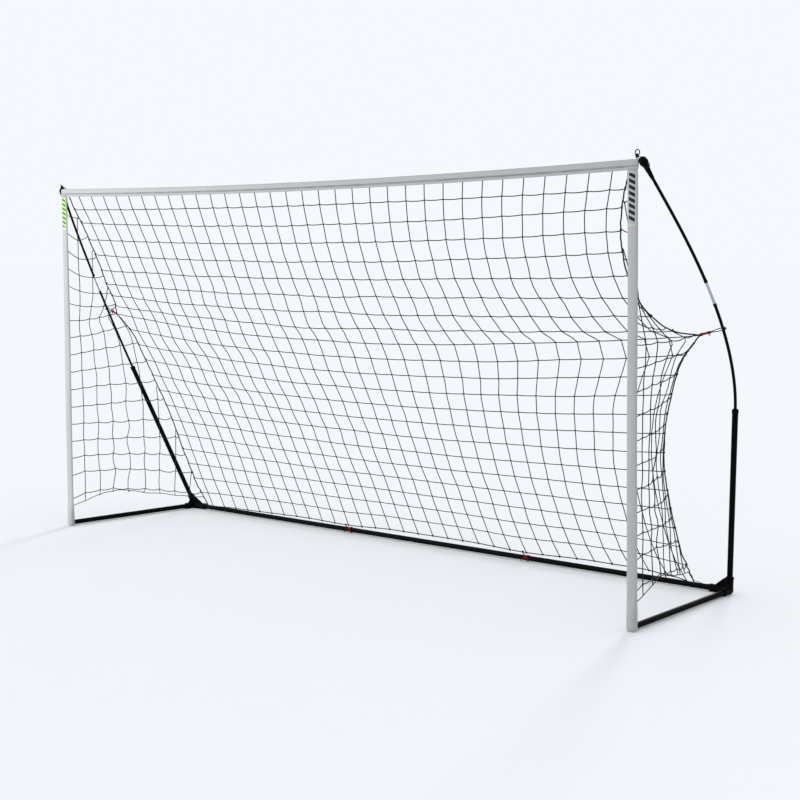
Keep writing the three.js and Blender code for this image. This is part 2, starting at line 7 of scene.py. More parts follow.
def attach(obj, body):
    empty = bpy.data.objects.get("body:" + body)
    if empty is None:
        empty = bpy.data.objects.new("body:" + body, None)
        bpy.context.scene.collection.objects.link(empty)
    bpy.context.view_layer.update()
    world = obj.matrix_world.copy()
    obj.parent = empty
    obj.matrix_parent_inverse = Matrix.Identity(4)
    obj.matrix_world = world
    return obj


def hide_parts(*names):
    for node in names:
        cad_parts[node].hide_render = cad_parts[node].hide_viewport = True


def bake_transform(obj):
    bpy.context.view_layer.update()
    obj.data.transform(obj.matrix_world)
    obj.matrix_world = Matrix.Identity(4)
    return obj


for leftover in ("Cube", "Light", "Camera"):
    if leftover in bpy.data.objects:
        bpy.data.objects.remove(bpy.data.objects[leftover])
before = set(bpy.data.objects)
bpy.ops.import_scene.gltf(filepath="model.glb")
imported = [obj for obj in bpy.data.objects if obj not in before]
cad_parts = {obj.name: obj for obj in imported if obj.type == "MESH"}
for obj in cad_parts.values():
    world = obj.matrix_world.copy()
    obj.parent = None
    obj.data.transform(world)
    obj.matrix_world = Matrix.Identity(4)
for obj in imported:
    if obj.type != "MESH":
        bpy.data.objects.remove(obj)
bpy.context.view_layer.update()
scene = bpy.context.scene

# ---------------------------------------------------------------- the viewpoint
# A plain long-lens view from the front right, a little above head height for a child,
# looking across the mouth and down at the ground frame.
camera_data = bpy.data.cameras.new("viewpoint")
camera_data.sensor_width = 36
camera_data.lens = 69.84
camera_data.clip_start, camera_data.clip_end = 0.1, 400
camera = bpy.data.objects.new("viewpoint", camera_data)
camera.location = (5.1666, -5.4414, 1.4762)
turned, tipped, rolled = math.radians(42.209), math.radians(5.391), math.radians(-0.279)
camera.rotation_mode = "QUATERNION"
camera.rotation_quaternion = (
    Matrix.Rotation(turned, 3, "Z")
    @ Matrix.Rotation(math.pi / 2 - tipped, 3, "X")
    @ Matrix.Rotation(rolled, 3, "Z")
).to_quaternion()
scene.collection.objects.link(camera)
scene.camera = camera
scene.view_settings.view_transform = "Standard"


# ---------------------------------------------------------------- floor and light
# A pale studio floor with no edge in sight. Broad light comes from all round, a soft lamp
# from behind, and a weaker one from the front left that lights the goal alone.
def node(tree, kind, inputs=None, **settings):
    """A shader or geometry node with its settings, whose inputs are values or sockets."""
    made = tree.nodes.new(kind)
    for key, value in settings.items():
        setattr(made, key, value)
    for key, value in (inputs or {}).items():
        if isinstance(value, bpy.types.NodeSocket):
            tree.links.new(value, made.inputs[key])
        else:
            made.inputs[key].default_value = value
    return made


def object_place(tree):
    """A point's place on the object."""
    return node(tree, "ShaderNodeTexCoord").outputs["Object"]


def cloudy(tree, scale, detail, place=None, **more):
    """A soft random pattern over an object, with so many clouds to a metre."""
    values = {"Vector": place or object_place(tree), "Scale": scale, "Detail": detail, **more}
    return node(tree, "ShaderNodeTexNoise", values).outputs["Fac"]


def mixed(tree, mask, start, end):
    """A colour that goes from start to end by a mask. Each is a socket or a colour."""
    made = node(tree, "ShaderNodeMix", {"Factor": mask}, data_type="RGBA")
    for label, value in (("A", start), ("B", end)):
        if isinstance(value, bpy.types.NodeSocket):
            tree.links.new(value, made.inputs[label])
        else:
            made.inputs[label].default_value = (*value, 1)
    return made.outputs["Result"]


def finish(name, constants):
    """A material named for its finish, its node tree and its Principled shader."""
    material = bpy.data.materials.new(name)
    material.use_nodes = True
    tree = material.node_tree
    shader = tree.nodes["Principled BSDF"]
    for key, value in constants.items():
        shader.inputs[key].default_value = value
    return material, tree, shader


FLOOR_REACH = 150            # far enough that no edge comes into sight
FLOOR_DROP = 0.0005          # a hair below the tubes and pockets that stand on it
floor_paint, tree, shader = finish("floor paint", {"Roughness": 1.0, "Specular IOR Level": 0.0})
tree.links.new(mixed(tree, cloudy(tree, 1.5, 3.0), (0.858, 0.890, 0.925), (0.872, 0.904, 0.939)),
               shader.inputs["Base Color"])
floor_mesh = bpy.data.meshes.new("floor")
floor_mesh.from_pydata(
    [(-FLOOR_REACH, -FLOOR_REACH, 0), (FLOOR_REACH, -FLOOR_REACH, 0),
     (FLOOR_REACH, FLOOR_REACH, 0), (-FLOOR_REACH, FLOOR_REACH, 0)], [], [(0, 1, 2, 3)])
floor_mesh.materials.append(floor_paint)
floor = bpy.data.objects.new("floor", floor_mesh)
floor.location.z = -FLOOR_DROP
scene.collection.objects.link(floor)

world = bpy.data.worlds.new("studio")
scene.world = world
world.use_nodes = True
air = world.node_tree
air.nodes.clear()
around_light = node(air, "ShaderNodeBackground", {"Color": (1, 1, 1, 1), "Strength": 0.915})
seen_behind = node(air, "ShaderNodeBackground", {"Color": (0.910, 0.944, 0.981, 1), "Strength": 1.0})
which = node(air, "ShaderNodeMixShader", {"Fac": node(air, "ShaderNodeLightPath").outputs["Is Camera Ray"]})
air.links.new(around_light.outputs[0], which.inputs[1])
air.links.new(seen_behind.outputs[0], which.inputs[2])
air.links.new(which.outputs[0], node(air, "ShaderNodeOutputWorld").inputs["Surface"])


def hang_lamp(name, kind, place, way, **settings):
    """A lamp at a place, shining one way."""
    data = bpy.data.lights.new(name, kind)
    for key, value in settings.items():
        setattr(data, key, value)
    made = bpy.data.objects.new(name, data)
    made.location = place
    made.rotation_mode = "QUATERNION"
    made.rotation_quaternion = way.to_track_quat("-Z", "Y")
    scene.collection.objects.link(made)
    return made


hang_lamp("back lamp", "SUN", (0, 0, 0), Vector((0.38, -0.90, -0.20)), energy=2.0, angle=math.radians(12))
lamp_stand, lit_middle = Vector((-5.0, -4.6, 2.4)), Vector((-1.8, -0.4, 0.9))
front_lamp = hang_lamp("front lamp", "AREA", lamp_stand, lit_middle - lamp_stand, energy=330, size=1.6)
unlit = bpy.data.collections.new("not lit by the front lamp")
unlit.objects.link(floor)
front_lamp.light_linking.receiver_collection = unlit
for member in unlit.collection_objects:
    member.light_linking.link_state = "EXCLUDE"


# ---------------------------------------------------------------- steel tubes of the base
# The base is 25 mm steel tube in black powder coat: a rear bar in three lengths that plug
# together on bare zinc spigots, and a side bar each side with a plastic cap in its front end.
def group(name, inputs, outputs):
    """A shared effect: its tree, its named inputs and its named outputs."""
    tree = bpy.data.node_groups.new(name, "ShaderNodeTree")
    for label, value in inputs.items():
        kind = "NodeSocketFloat" if isinstance(value, (int, float)) else "NodeSocketVector"
        made = tree.interface.new_socket(label, in_out="INPUT", socket_type=kind)
        made.default_value = value
    for label, kind in outputs.items():
        tree.interface.new_socket(label, in_out="OUTPUT", socket_type=kind)
    return tree, node(tree, "NodeGroupInput"), node(tree, "NodeGroupOutput")


def placed(tree, effect, values):
    """An effect placed in a material with its own values."""
    return node(tree, "ShaderNodeGroup", values, node_tree=effect)


def maths(tree, operation, *values):
    """A sum worked out on sockets and numbers."""
    return node(tree, "ShaderNodeMath", dict(enumerate(values)), operation=operation).outputs[0]


def between(tree, value, low_end, high_end):
    """0 to 1, turning smoothly, as a number goes from one end to the other."""
    return node(tree, "ShaderNodeMapRange", {"Value": value, "From Min": low_end, "From Max": high_end},
                interpolation_type="SMOOTHSTEP").outputs[0]


# grain: a fine pebbled height and a slow change of tone over the whole surface
grain, given, wanted = group(
    "grain", {"Size": 0.001, "Stretch": (1.0, 1.0, 1.0)},
    {"Height": "NodeSocketFloat", "Tone": "NodeSocketFloat"})
at = object_place(grain)
stretched = node(grain, "ShaderNodeVectorMath", {0: at, 1: given.outputs["Stretch"]}, operation="MULTIPLY")
per_metre = maths(grain, "DIVIDE", 1.0, given.outputs["Size"])
pebbles = cloudy(grain, per_metre, 2.0, stretched.outputs[0], Roughness=0.55)
grain.links.new(pebbles, wanted.inputs["Height"])
grain.links.new(cloudy(grain, 7.0, 4.0, at, Roughness=0.6), wanted.inputs["Tone"])

# scuffs: thin scratches and rubbed patches where the goal is dragged and packed away
scuffs, given, wanted = group("scuffs", {"Share": 0.4, "Length": 0.05}, {"Mask": "NodeSocketFloat"})
at = object_place(scuffs)
per_metre = maths(scuffs, "DIVIDE", 1.0, given.outputs["Length"])
warped = node(scuffs, "ShaderNodeVectorMath", {0: at, 1: (1.0, 1.6, 14.0)}, operation="MULTIPLY")
scratches = between(scuffs, cloudy(
    scuffs, per_metre, 5.0, warped.outputs[0], Roughness=0.7, Distortion=1.4), 0.60, 0.70)
patches = between(scuffs, cloudy(scuffs, 11.0, 3.0, at), 0.46, 0.66)
both = maths(scuffs, "MULTIPLY", scratches, patches)
scuffs.links.new(maths(scuffs, "MULTIPLY", both, given.outputs["Share"]), wanted.inputs["Mask"])

# dust: a film that settles on whatever faces up, thicker near the ground
dust, given, wanted = group("dust", {"Amount": 0.3}, {"Mask": "NodeSocketFloat"})
facing = node(dust, "ShaderNodeSeparateXYZ", {0: node(dust, "ShaderNodeNewGeometry").outputs["Normal"]})
height = node(dust, "ShaderNodeSeparateXYZ", {0: object_place(dust)})
upward = node(dust, "ShaderNodeMapRange", {"Value": facing.outputs["Z"], "From Min": 0.2, "From Max": 1.0})
low = node(dust, "ShaderNodeMapRange", {
    "Value": height.outputs["Z"], "From Min": 0.35, "From Max": 0.0, "To Min": 0.25})
film = maths(dust, "MULTIPLY", upward.outputs[0], low.outputs[0])
film = maths(dust, "MULTIPLY", film, cloudy(dust, 60.0, 6.0))
dust.links.new(maths(dust, "MULTIPLY", film, given.outputs["Amount"]), wanted.inputs["Mask"])

# edge wear: the coat thins and shines on corners and rims
edge_wear, given, wanted = group("edge wear", {"Width": 0.001}, {"Mask": "NodeSocketFloat"})
rounded = node(edge_wear, "ShaderNodeBevel", {"Radius": given.outputs["Width"]}, samples=6)
flat = node(edge_wear, "ShaderNodeNewGeometry").outputs["Normal"]
kept = node(edge_wear, "ShaderNodeVectorMath", {0: rounded.outputs[0], 1: flat}, operation="DOT_PRODUCT")
worn = between(edge_wear, kept.outputs["Value"], 0.985, 0.86)
edge_wear.links.new(maths(edge_wear, "MULTIPLY", worn, cloudy(edge_wear, 180.0, 3.0)), wanted.inputs["Mask"])


def marked(tree, colour, *marks):
    """A colour under marks, each an effect, its values and the colour that it brings."""
    for effect, values, mark_colour in marks:
        colour = mixed(tree, placed(tree, effect, values).outputs["Mask"], colour, mark_colour)
    return colour


def spread(tree, mask, low_value, high_value):
    """A number that goes from a low to a high value by a mask."""
    values = {"Value": mask, "To Min": low_value, "To Max": high_value}
    return node(tree, "ShaderNodeMapRange", values).outputs[0]


def surface(tree, shader, colour, roughness, relief=None, depth=0.0):
    """Gives a finish its colour, its roughness and, if it has one, its relief, depth in metres."""
    tree.links.new(colour, shader.inputs["Base Color"])
    tree.links.new(roughness, shader.inputs["Roughness"])
    if relief is not None:
        made = node(tree, "ShaderNodeBump", {"Height": relief, "Distance": depth, "Strength": 1.0})
        tree.links.new(made.outputs["Normal"], shader.inputs["Normal"])


powder_coat, tree, shader = finish("powder coat", {"Specular IOR Level": 0.035})
peel = placed(tree, grain, {"Size": 0.0016})
coat = marked(
    tree, mixed(tree, peel.outputs["Tone"], (0.0007, 0.0007, 0.0009), (0.0020, 0.0020, 0.0023)),
    (scuffs, {"Share": 0.5, "Length": 0.02}, (0.020, 0.020, 0.022)),
    (edge_wear, {"Width": 0.0008}, (0.03, 0.03, 0.032)),
    (dust, {"Amount": 0.02}, (0.22, 0.21, 0.19)))
surface(tree, shader, coat, spread(tree, peel.outputs["Tone"], 0.50, 0.68), peel.outputs["Height"], 0.00016)

zinc, tree, shader = finish("bright zinc", {"Metallic": 1.0})
spangle = node(tree, "ShaderNodeTexVoronoi", {"Vector": object_place(tree), "Scale": 260.0})
drawn = placed(tree, grain, {"Size": 0.0006, "Stretch": (0.04, 1.0, 1.0)})
surface(tree, shader, mixed(tree, spangle.outputs["Distance"], (0.50, 0.51, 0.53), (0.66, 0.67, 0.70)),
        spread(tree, drawn.outputs["Tone"], 0.24, 0.42), drawn.outputs["Height"], 0.00003)

black_plastic, tree, shader = finish("black plastic", {"Specular IOR Level": 0.035})
moulded = placed(tree, grain, {"Size": 0.0007})
plastic = marked(
    tree, mixed(tree, moulded.outputs["Tone"], (0.0009, 0.0009, 0.0011), (0.0024, 0.0024, 0.0027)),
    (edge_wear, {"Width": 0.0012}, (0.022, 0.022, 0.024)),
    (scuffs, {"Share": 0.25, "Length": 0.012}, (0.018, 0.018, 0.020)),
    (dust, {"Amount": 0.02}, (0.20, 0.19, 0.175)))
surface(tree, shader, plastic, spread(tree, moulded.outputs["Tone"], 0.46, 0.64),
        moulded.outputs["Height"], 0.00010)

# The tubes and fittings keep their exact shapes; welded points and rounded shading take away
# the flats that a turned or bent tube doesn't have.
WELD = 0.00002
SHARP_EDGE = math.radians(32)
rounding = bpy.data.node_groups.new("rounded shading", "GeometryNodeTree")
rounding.interface.new_socket("Geometry", in_out="INPUT", socket_type="NodeSocketGeometry")
rounding.interface.new_socket("Geometry", in_out="OUTPUT", socket_type="NodeSocketGeometry")
welded = node(rounding, "GeometryNodeMergeByDistance", {
    "Geometry": node(rounding, "NodeGroupInput").outputs[0], "Distance": WELD})
angle = node(rounding, "GeometryNodeInputMeshEdgeAngle")
sharp = node(rounding, "FunctionNodeCompare", {"A": angle.outputs["Unsigned Angle"], "B": SHARP_EDGE},
             operation="GREATER_THAN")
shaded = node(rounding, "GeometryNodeSetMeshNormal", {
    "Mesh": welded.outputs[0], "Remove Custom": True, "Edge Sharpness": sharp.outputs["Result"],
    "Face Sharpness": False}, mode="SHARPNESS")
rounding.links.new(shaded.outputs[0], node(rounding, "NodeGroupOutput").inputs[0])


def dress(name, material):
    """Gives a solid its finish and rounded shading."""
    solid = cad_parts[name]
    for place in solid.material_slots:
        place.link = "OBJECT"
        place.material = material
    solid.modifiers.new("rounded shading", "NODES").node_group = rounding


HANDS = (("left", -1), ("right", 1))
for name in ("rear_bar_left", "rear_bar_centre", "rear_bar_right", "side_bar_left", "side_bar_right"):
    dress(name, powder_coat)
for hand, _ in HANDS:
    dress("rear_spigot_" + hand, zinc)
    dress("front_cap_" + hand, black_plastic)

# ---------------------------------------------------------------- corner fittings
# Each rear corner is one black moulding with three sockets, for the rear bar, the side bar and
# the upright, joined by ribs. Sprung steel buttons click through holes to hold the tubes.
button_steel, tree, shader = finish("button steel", {"Metallic": 1.0})
turned_marks = placed(tree, grain, {"Size": 0.0003})
surface(tree, shader, mixed(tree, turned_marks.outputs["Tone"], (0.09, 0.09, 0.10), (0.17, 0.17, 0.18)),
        spread(tree, turned_marks.outputs["Height"], 0.25, 0.45), turned_marks.outputs["Height"], 0.00001)

spring_steel, tree, shader = finish("spring steel", {"Metallic": 1.0})
rolled_marks = placed(tree, grain, {"Size": 0.0005, "Stretch": (1.0, 1.0, 0.1)})
surface(tree, shader, mixed(tree, rolled_marks.outputs["Tone"], (0.30, 0.30, 0.32), (0.44, 0.44, 0.46)),
        spread(tree, rolled_marks.outputs["Height"], 0.25, 0.45))

for hand, _ in HANDS:
    dress("corner_" + hand, black_plastic)
    for place_name in ("rear_joint", "rear", "side", "upright"):
        dress(f"snap_button_{place_name}_{hand}", button_steel)
        dress(f"button_spring_{place_name}_{hand}", spring_steel)

# ---------------------------------------------------------------- uprights and bows
# A steel upright stands in each corner. A tapering bow of two black fibreglass rods, joined by
# a bare steel ferrule between two rings, stands in its collar and ends in a rubber ball.
fibreglass, tree, shader = finish("black fibreglass", {"Specular IOR Level": 0.035})
strands = placed(tree, grain, {"Size": 0.0012, "Stretch": (1.0, 1.0, 0.05)})
rod = marked(
    tree, mixed(tree, strands.outputs["Tone"], (0.0007, 0.0007, 0.0009), (0.0019, 0.0019, 0.0022)),
    (scuffs, {"Share": 0.08, "Length": 0.03}, (0.018, 0.018, 0.019)))
surface(tree, shader, rod, spread(tree, strands.outputs["Height"], 0.42, 0.60),
        strands.outputs["Height"], 0.00001)

bare_steel, tree, shader = finish("bare steel", {"Metallic": 0.85})
polished = placed(tree, grain, {"Size": 0.0005, "Stretch": (0.3, 0.3, 2.0)})
steel = marked(
    tree, mixed(tree, polished.outputs["Tone"], (0.30, 0.345, 0.37), (0.50, 0.56, 0.59)),
    (scuffs, {"Share": 0.5, "Length": 0.006}, (0.16, 0.18, 0.19)))
surface(tree, shader, steel, spread(tree, polished.outputs["Height"], 0.26, 0.46),
        polished.outputs["Height"], 0.00003)

for hand, _ in HANDS:
    dress("upright_" + hand, powder_coat)
    for name in ("pole_collar_", "pole_seat_", "pole_ring_lower_", "pole_ring_upper_", "tip_ball_"):
        dress(name + hand, black_plastic)
    for name in ("pole_lower_", "pole_upper_"):
        dress(name + hand, fibreglass)
    dress("ferrule_" + hand, bare_steel)

# ---------------------------------------------------------------- post sleeves
# The mouth has no rigid posts. Each side is a flat tube of silver-grey coated cloth, sewn up
# one edge, with a deeper pocket at its foot that the front end of the side bar sits in.
GOAL_LINE = -0.4201          # the mouth's plane
POST_FOOT = 1.830            # half the mouth's width at the ground
POST_LEAN = 0.0145           # how far each post's top leans in
FULL_HEIGHT = 1.830          # the top of the crossbar's ends
POST_TOP = 1.7905            # where the posts meet the crossbar
POST_HALF_WIDTH = 0.024
POST_HALF_DEPTH = 0.007
POCKET_HALF_DEPTH = 0.0148
HALF_CLOTH = 0.0006          # the cloth's middle lies this far inside its face
BADGE_HALF_WIDTH = 0.0140
BADGE_SLANT = 0.45           # how much each printed bar climbs across the badge
BADGE_BAR = 0.60             # the printed share of each bar and gap
UNDERLINE_DROP = 0.011       # from the badge's foot down to the thin line under it
UNDERLINE_HALF = 0.0035


def post_x(z):
    """How far out a post's middle stands at a height."""
    return POST_FOOT - POST_LEAN * z / FULL_HEIGHT


def ease(value, low_end, high_end):
    """0 at one end and 1 at the other, turning smoothly between them."""
    t = min(max((value - low_end) / (high_end - low_end), 0), 1)
    return t * t * (3 - 2 * t)


def wavering(x, y, z, seed):
    """A smooth wandering number from about -1 to 1."""
    return noise.noise(Vector((x + seed * 7.31, y - seed * 3.17, z + seed * 1.93)))


def shaped(name, points, faces, marks=None):
    """A smooth mesh object from points, faces and, for each face, its (u, v) marks in metres."""
    mesh = bpy.data.meshes.new(name)
    mesh.from_pydata([tuple(p) for p in points], [], faces)
    mesh.polygons.foreach_set("use_smooth", [True] * len(mesh.polygons))
    if marks:
        layer = mesh.uv_layers.new(name="lay")
        layer.data.foreach_set("uv", [number for face in marks for pair in face for number in pair])
    mesh.update()
    made = bpy.data.objects.new(name, mesh)
    scene.collection.objects.link(made)
    return made


def skin(name, stations, around, place, closed_start, closed_end):
    """A tube of cloth laid over stations and angles, with u along it and v round it."""
    points, faces, marks = [], [], []
    for s in stations:
        for k in range(around):
            points.append(place(s, 2 * math.pi * k / around))
    girth = sum((points[k] - points[(k + 1) % around]).length for k in range(around))
    runs = [0.0]
    for i in range(1, len(stations)):
        runs.append(runs[-1] + (points[i * around] - points[(i - 1) * around]).length)
    for i in range(len(stations) - 1):
        for k in range(around):
            after = (k + 1) % around
            faces.append((i * around + k, i * around + after,
                          (i + 1) * around + after, (i + 1) * around + k))
            low_v, high_v = girth * k / around, girth * (k + 1) / around
            marks.append(((runs[i], low_v), (runs[i], high_v),
                          (runs[i + 1], high_v), (runs[i + 1], low_v)))
    for wanted_end, row, turn in ((closed_start, 0, -1), (closed_end, len(stations) - 1, 1)):
        if wanted_end:
            ring = [row * around + k for k in range(around)][::turn]
            faces.append(tuple(ring))
            marks.append(tuple((runs[row], girth * k / around) for k in range(around))[::turn])
    return shaped(name, points, faces, marks)


def laid_out(tree):
    """How far along (X) and round (Y) a piece of cloth or yarn a point lies."""
    return node(tree, "ShaderNodeSeparateXYZ", {
        0: node(tree, "ShaderNodeUVMap", uv_map="lay").outputs[0]}).outputs


# weave: crossed threads, fine enough to show only close up
weave, given, wanted = group("weave", {"Thread": 0.0006}, {"Height": "NodeSocketFloat"})
lay = laid_out(weave)
turns = maths(weave, "DIVIDE", 2 * math.pi, given.outputs["Thread"])
waves = [maths(weave, "SINE", maths(weave, "MULTIPLY", lay[way], turns)) for way in ("X", "Y")]
lifted = node(weave, "ShaderNodeMapRange", {"Value": maths(weave, "MULTIPLY", *waves), "From Min": -1.0})
weave.links.new(lifted.outputs[0], wanted.inputs["Height"])

# stitching: a row of short threads along the cloth at one place round it
stitching, given, wanted = group(
    "stitching", {"Place": 0.0, "Pitch": 0.005, "Thread": 0.0005}, {"Mask": "NodeSocketFloat"})
STITCH_SHARE = 0.62          # how much of each step the thread lies on top
lay = laid_out(stitching)
away = maths(stitching, "ABSOLUTE", maths(stitching, "SUBTRACT", lay["Y"], given.outputs["Place"]))
on_row = maths(stitching, "LESS_THAN", away, given.outputs["Thread"])
step = maths(stitching, "FRACT", maths(stitching, "DIVIDE", lay["X"], given.outputs["Pitch"]))
dash = maths(stitching, "LESS_THAN", step, STITCH_SHARE)
stitching.links.new(maths(stitching, "MULTIPLY", on_row, dash), wanted.inputs["Mask"])

# crease: painted shade along a fold at one place round the cloth, the colour darkened where the fold's shadow
# falls
crease_shade, given, wanted = group("crease", {"Place": 0.0, "Width": 0.003}, {"Mask": "NodeSocketFloat"})
lay = laid_out(crease_shade)
away = maths(crease_shade, "ABSOLUTE", maths(crease_shade, "SUBTRACT", lay["Y"], given.outputs["Place"]))
deep = node(crease_shade, "ShaderNodeMapRange", {
    "Value": away, "From Min": 0.0, "From Max": given.outputs["Width"], "To Min": 1.0, "To Max": 0.0},
    interpolation_type="SMOOTHSTEP").outputs[0]
deep = maths(crease_shade, "MULTIPLY", deep, cloudy(crease_shade, 18.0, 4.0))
crease_shade.links.new(deep, wanted.inputs["Mask"])


def coated_cloth(name, seams, folds=(), badge=None):
    """Silver-grey coated cloth with its rows of stitches, painted shade along its folds and, on posts, a
    printed badge of bars.
    """
    material, tree, shader = finish(name, {"Specular IOR Level": 0.16, "Sheen Weight": 0.03})
    soft = placed(tree, grain, {"Size": 0.02})
    cloth = marked(
        tree, mixed(tree, soft.outputs["Tone"], (0.345, 0.348, 0.362), (0.385, 0.388, 0.402)),
        (scuffs, {"Share": 0.30, "Length": 0.06}, (0.29, 0.29, 0.295)),
        (dust, {"Amount": 0.25}, (0.36, 0.34, 0.30)),
        # painted shade: the cloth's colour is darkened along each fold
        *((crease_shade, {"Place": fold, "Width": 0.0042}, (0.12, 0.12, 0.13)) for fold in folds))
    relief = maths(tree, "MULTIPLY", placed(tree, weave, {"Thread": 0.0009}).outputs["Height"], 0.5)
    for seam in seams:
        row = placed(tree, stitching, {"Place": seam}).outputs["Mask"]
        cloth = mixed(tree, row, cloth, (0.23, 0.23, 0.24))
        relief = maths(tree, "ADD", relief, row)
    if badge:
        at = node(tree, "ShaderNodeSeparateXYZ", {0: object_place(tree)}).outputs
        across = maths(tree, "SUBTRACT", at["X"], badge["middle"])
        slant = maths(tree, "MULTIPLY_ADD", across, BADGE_SLANT, at["Z"])
        bars = maths(tree, "FRACT", maths(tree, "DIVIDE", slant, badge["pitch"]))
        bars = maths(tree, "LESS_THAN", bars, BADGE_BAR)
        inside = maths(tree, "LESS_THAN", maths(tree, "ABSOLUTE", across), BADGE_HALF_WIDTH)
        front = maths(tree, "LESS_THAN", at["Y"], GOAL_LINE - 0.0005)
        strip = maths(tree, "MULTIPLY", inside, front)
        above = maths(tree, "GREATER_THAN", at["Z"], badge["bottom"])
        below = maths(tree, "LESS_THAN", at["Z"], badge["top"])
        panel = maths(tree, "MULTIPLY", strip, maths(tree, "MULTIPLY", above, below))
        if badge["patch"]:
            cloth = mixed(tree, panel, cloth, badge["patch"])
        cloth = mixed(tree, maths(tree, "MULTIPLY", panel, bars), cloth, badge["ink"])
        under = maths(tree, "SUBTRACT", at["Z"], badge["bottom"] - UNDERLINE_DROP)
        under = maths(tree, "LESS_THAN", maths(tree, "ABSOLUTE", under), UNDERLINE_HALF)
        cloth = mixed(tree, maths(tree, "MULTIPLY", under, strip), cloth, badge["underline"])
    surface(tree, shader, cloth, spread(tree, soft.outputs["Tone"], 0.50, 0.66), relief, 0.00018)
    return material


def make_post(hand, side):
    """One post's cloth, from the pocket on the ground up to the crossbar."""
    def place(z, angle):
        flat_x, flat_y = math.cos(angle), math.sin(angle)
        squared = (math.copysign(abs(flat_x) ** 0.82, flat_x), math.copysign(abs(flat_y) ** 0.9, flat_y))
        foot = 1 - ease(z, 0.045, 0.14)
        depth = POST_HALF_DEPTH + (POCKET_HALF_DEPTH - POST_HALF_DEPTH) * foot
        tuck = 1 - 0.20 * (1 - ease(z, 0.0, 0.012)) - 0.06 * (1 - ease(POST_TOP - z, 0.0, 0.02))
        slack = wavering(angle * 0.7, z * 5.5, 0.0, 3 + side) * 0.0011
        crease = wavering(flat_x * 1.3, z * 24, flat_y, 9 + side) * 0.0011
        crease *= 0.35 + ease(z, 1.45, 1.74) + (1 - ease(z, 0.10, 0.30))
        out = slack + crease
        middle = post_x(z) + 0.0012 * math.sin(z * 5 + side)
        twist = 0.05 * math.sin(z * 2.6 + 1.0 + side)
        x = squared[0] * (POST_HALF_WIDTH - HALF_CLOTH) * tuck + out * squared[0] * 0.4
        y = squared[1] * (depth - HALF_CLOTH) * tuck + out * squared[1]
        x, y = x * math.cos(twist) - y * math.sin(twist), x * math.sin(twist) + y * math.cos(twist)
        return Vector((side * (middle + x), GOAL_LINE + side * y, z))

    stations = [HALF_CLOTH, 0.002, 0.005, 0.010, 0.018]
    stations += [0.03 + 0.012 * i for i in range(146)] + [1.782, POST_TOP]
    post = skin("post_sleeve_cloth_" + hand, stations, 32, place, True, False)
    badge = {"middle": side * 1.8165, "pitch": 0.0235, "bottom": 1.592, "top": 1.778,
             "ink": (0.004, 0.004, 0.005), "underline": (0.36, 0.52, 0.36), "patch": None}
    if side < 0:
        badge.update(bottom=1.628, ink=(0.07, 0.17, 0.02), underline=(0.40, 0.74, 0.16),
                     patch=(0.42, 0.78, 0.17))
    # painted shade darkens the cloth along the fold between its two rows of stitches
    post.data.materials.append(coated_cloth("post cloth " + hand, (0.0506, 0.0546), (0.0526,), badge))
    thick = post.modifiers.new("cloth thickness", "SOLIDIFY")
    thick.thickness, thick.offset = 0.0011, -1
    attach(post, "frame")
    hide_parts("post_sleeve_" + hand)
    return post


posts = [make_post("left", -1), make_post("right", 1)]

# ---------------------------------------------------------------- crossbar sleeve
# The crossbar is the same cloth, folded into a tube with a flat stitched hem under it. Pulled
# tight between the bows, it still hangs a little in the middle. Its ends are sewn to the posts.
BAR_SAG = 0.025              # how far its middle hangs
BAR_SPAN = 1.8155            # half its length between the posts' middles
BAR_HALF_HEIGHT = 0.020
BAR_AROUND = 36              # points round the cloth
BAR_END = post_x(FULL_HEIGHT) + POST_HALF_WIDTH


def bar_top(x):
    """Height of the crossbar's top edge."""
    return FULL_HEIGHT - BAR_SAG * (1 - min(abs(x) / BAR_SPAN, 1) ** 2)


def bar_place(x, angle):
    """A point of the crossbar's cloth, at an angle round it from its top."""
    up_share, deep_share = math.cos(angle), math.sin(angle)
    over_post = ease(abs(x), BAR_END - 2 * POST_HALF_WIDTH - 0.004, BAR_END - 2 * POST_HALF_WIDTH + 0.004)
    end = ease(abs(x), BAR_END - 0.020, BAR_END)
    height_share = math.copysign(abs(up_share) ** 0.9, up_share)
    fold = math.exp(-((height_share + 0.34) / 0.09) ** 2) * (1 - over_post)
    hem = (1 - ease(height_share, -0.50, -0.28)) * (1 - over_post)
    depth = 0.0066 * (1 - 0.45 * hem - 0.62 * fold) * (1 - 0.55 * end)
    depth += 0.0011 * wavering(x * 3.1, angle * 0.6, 0.3, 5) + 0.0007 * wavering(x * 21, height_share, 0.1, 6)
    pucker = 0.0009 * math.sin(x * 190 + 3 * wavering(x * 9, 0, 0, 2)) * fold
    welt = 0.0012 * math.exp(-((abs(x) - (BAR_END - 2 * POST_HALF_WIDTH)) / 0.003) ** 2)
    depth = max(depth + pucker + welt, 0.0012)
    half = BAR_HALF_HEIGHT - HALF_CLOTH + 0.0006 * wavering(x * 6, up_share, 0.5, 7)
    z = bar_top(x) - BAR_HALF_HEIGHT + height_share * half * (1 - 0.10 * end)
    round_y = math.copysign(abs(deep_share) ** 0.8, deep_share)
    lean = 0.0012 * wavering(x * 1.4, 0.2, 0.7, 8)
    return Vector((x, GOAL_LINE + round_y * depth + lean, z))


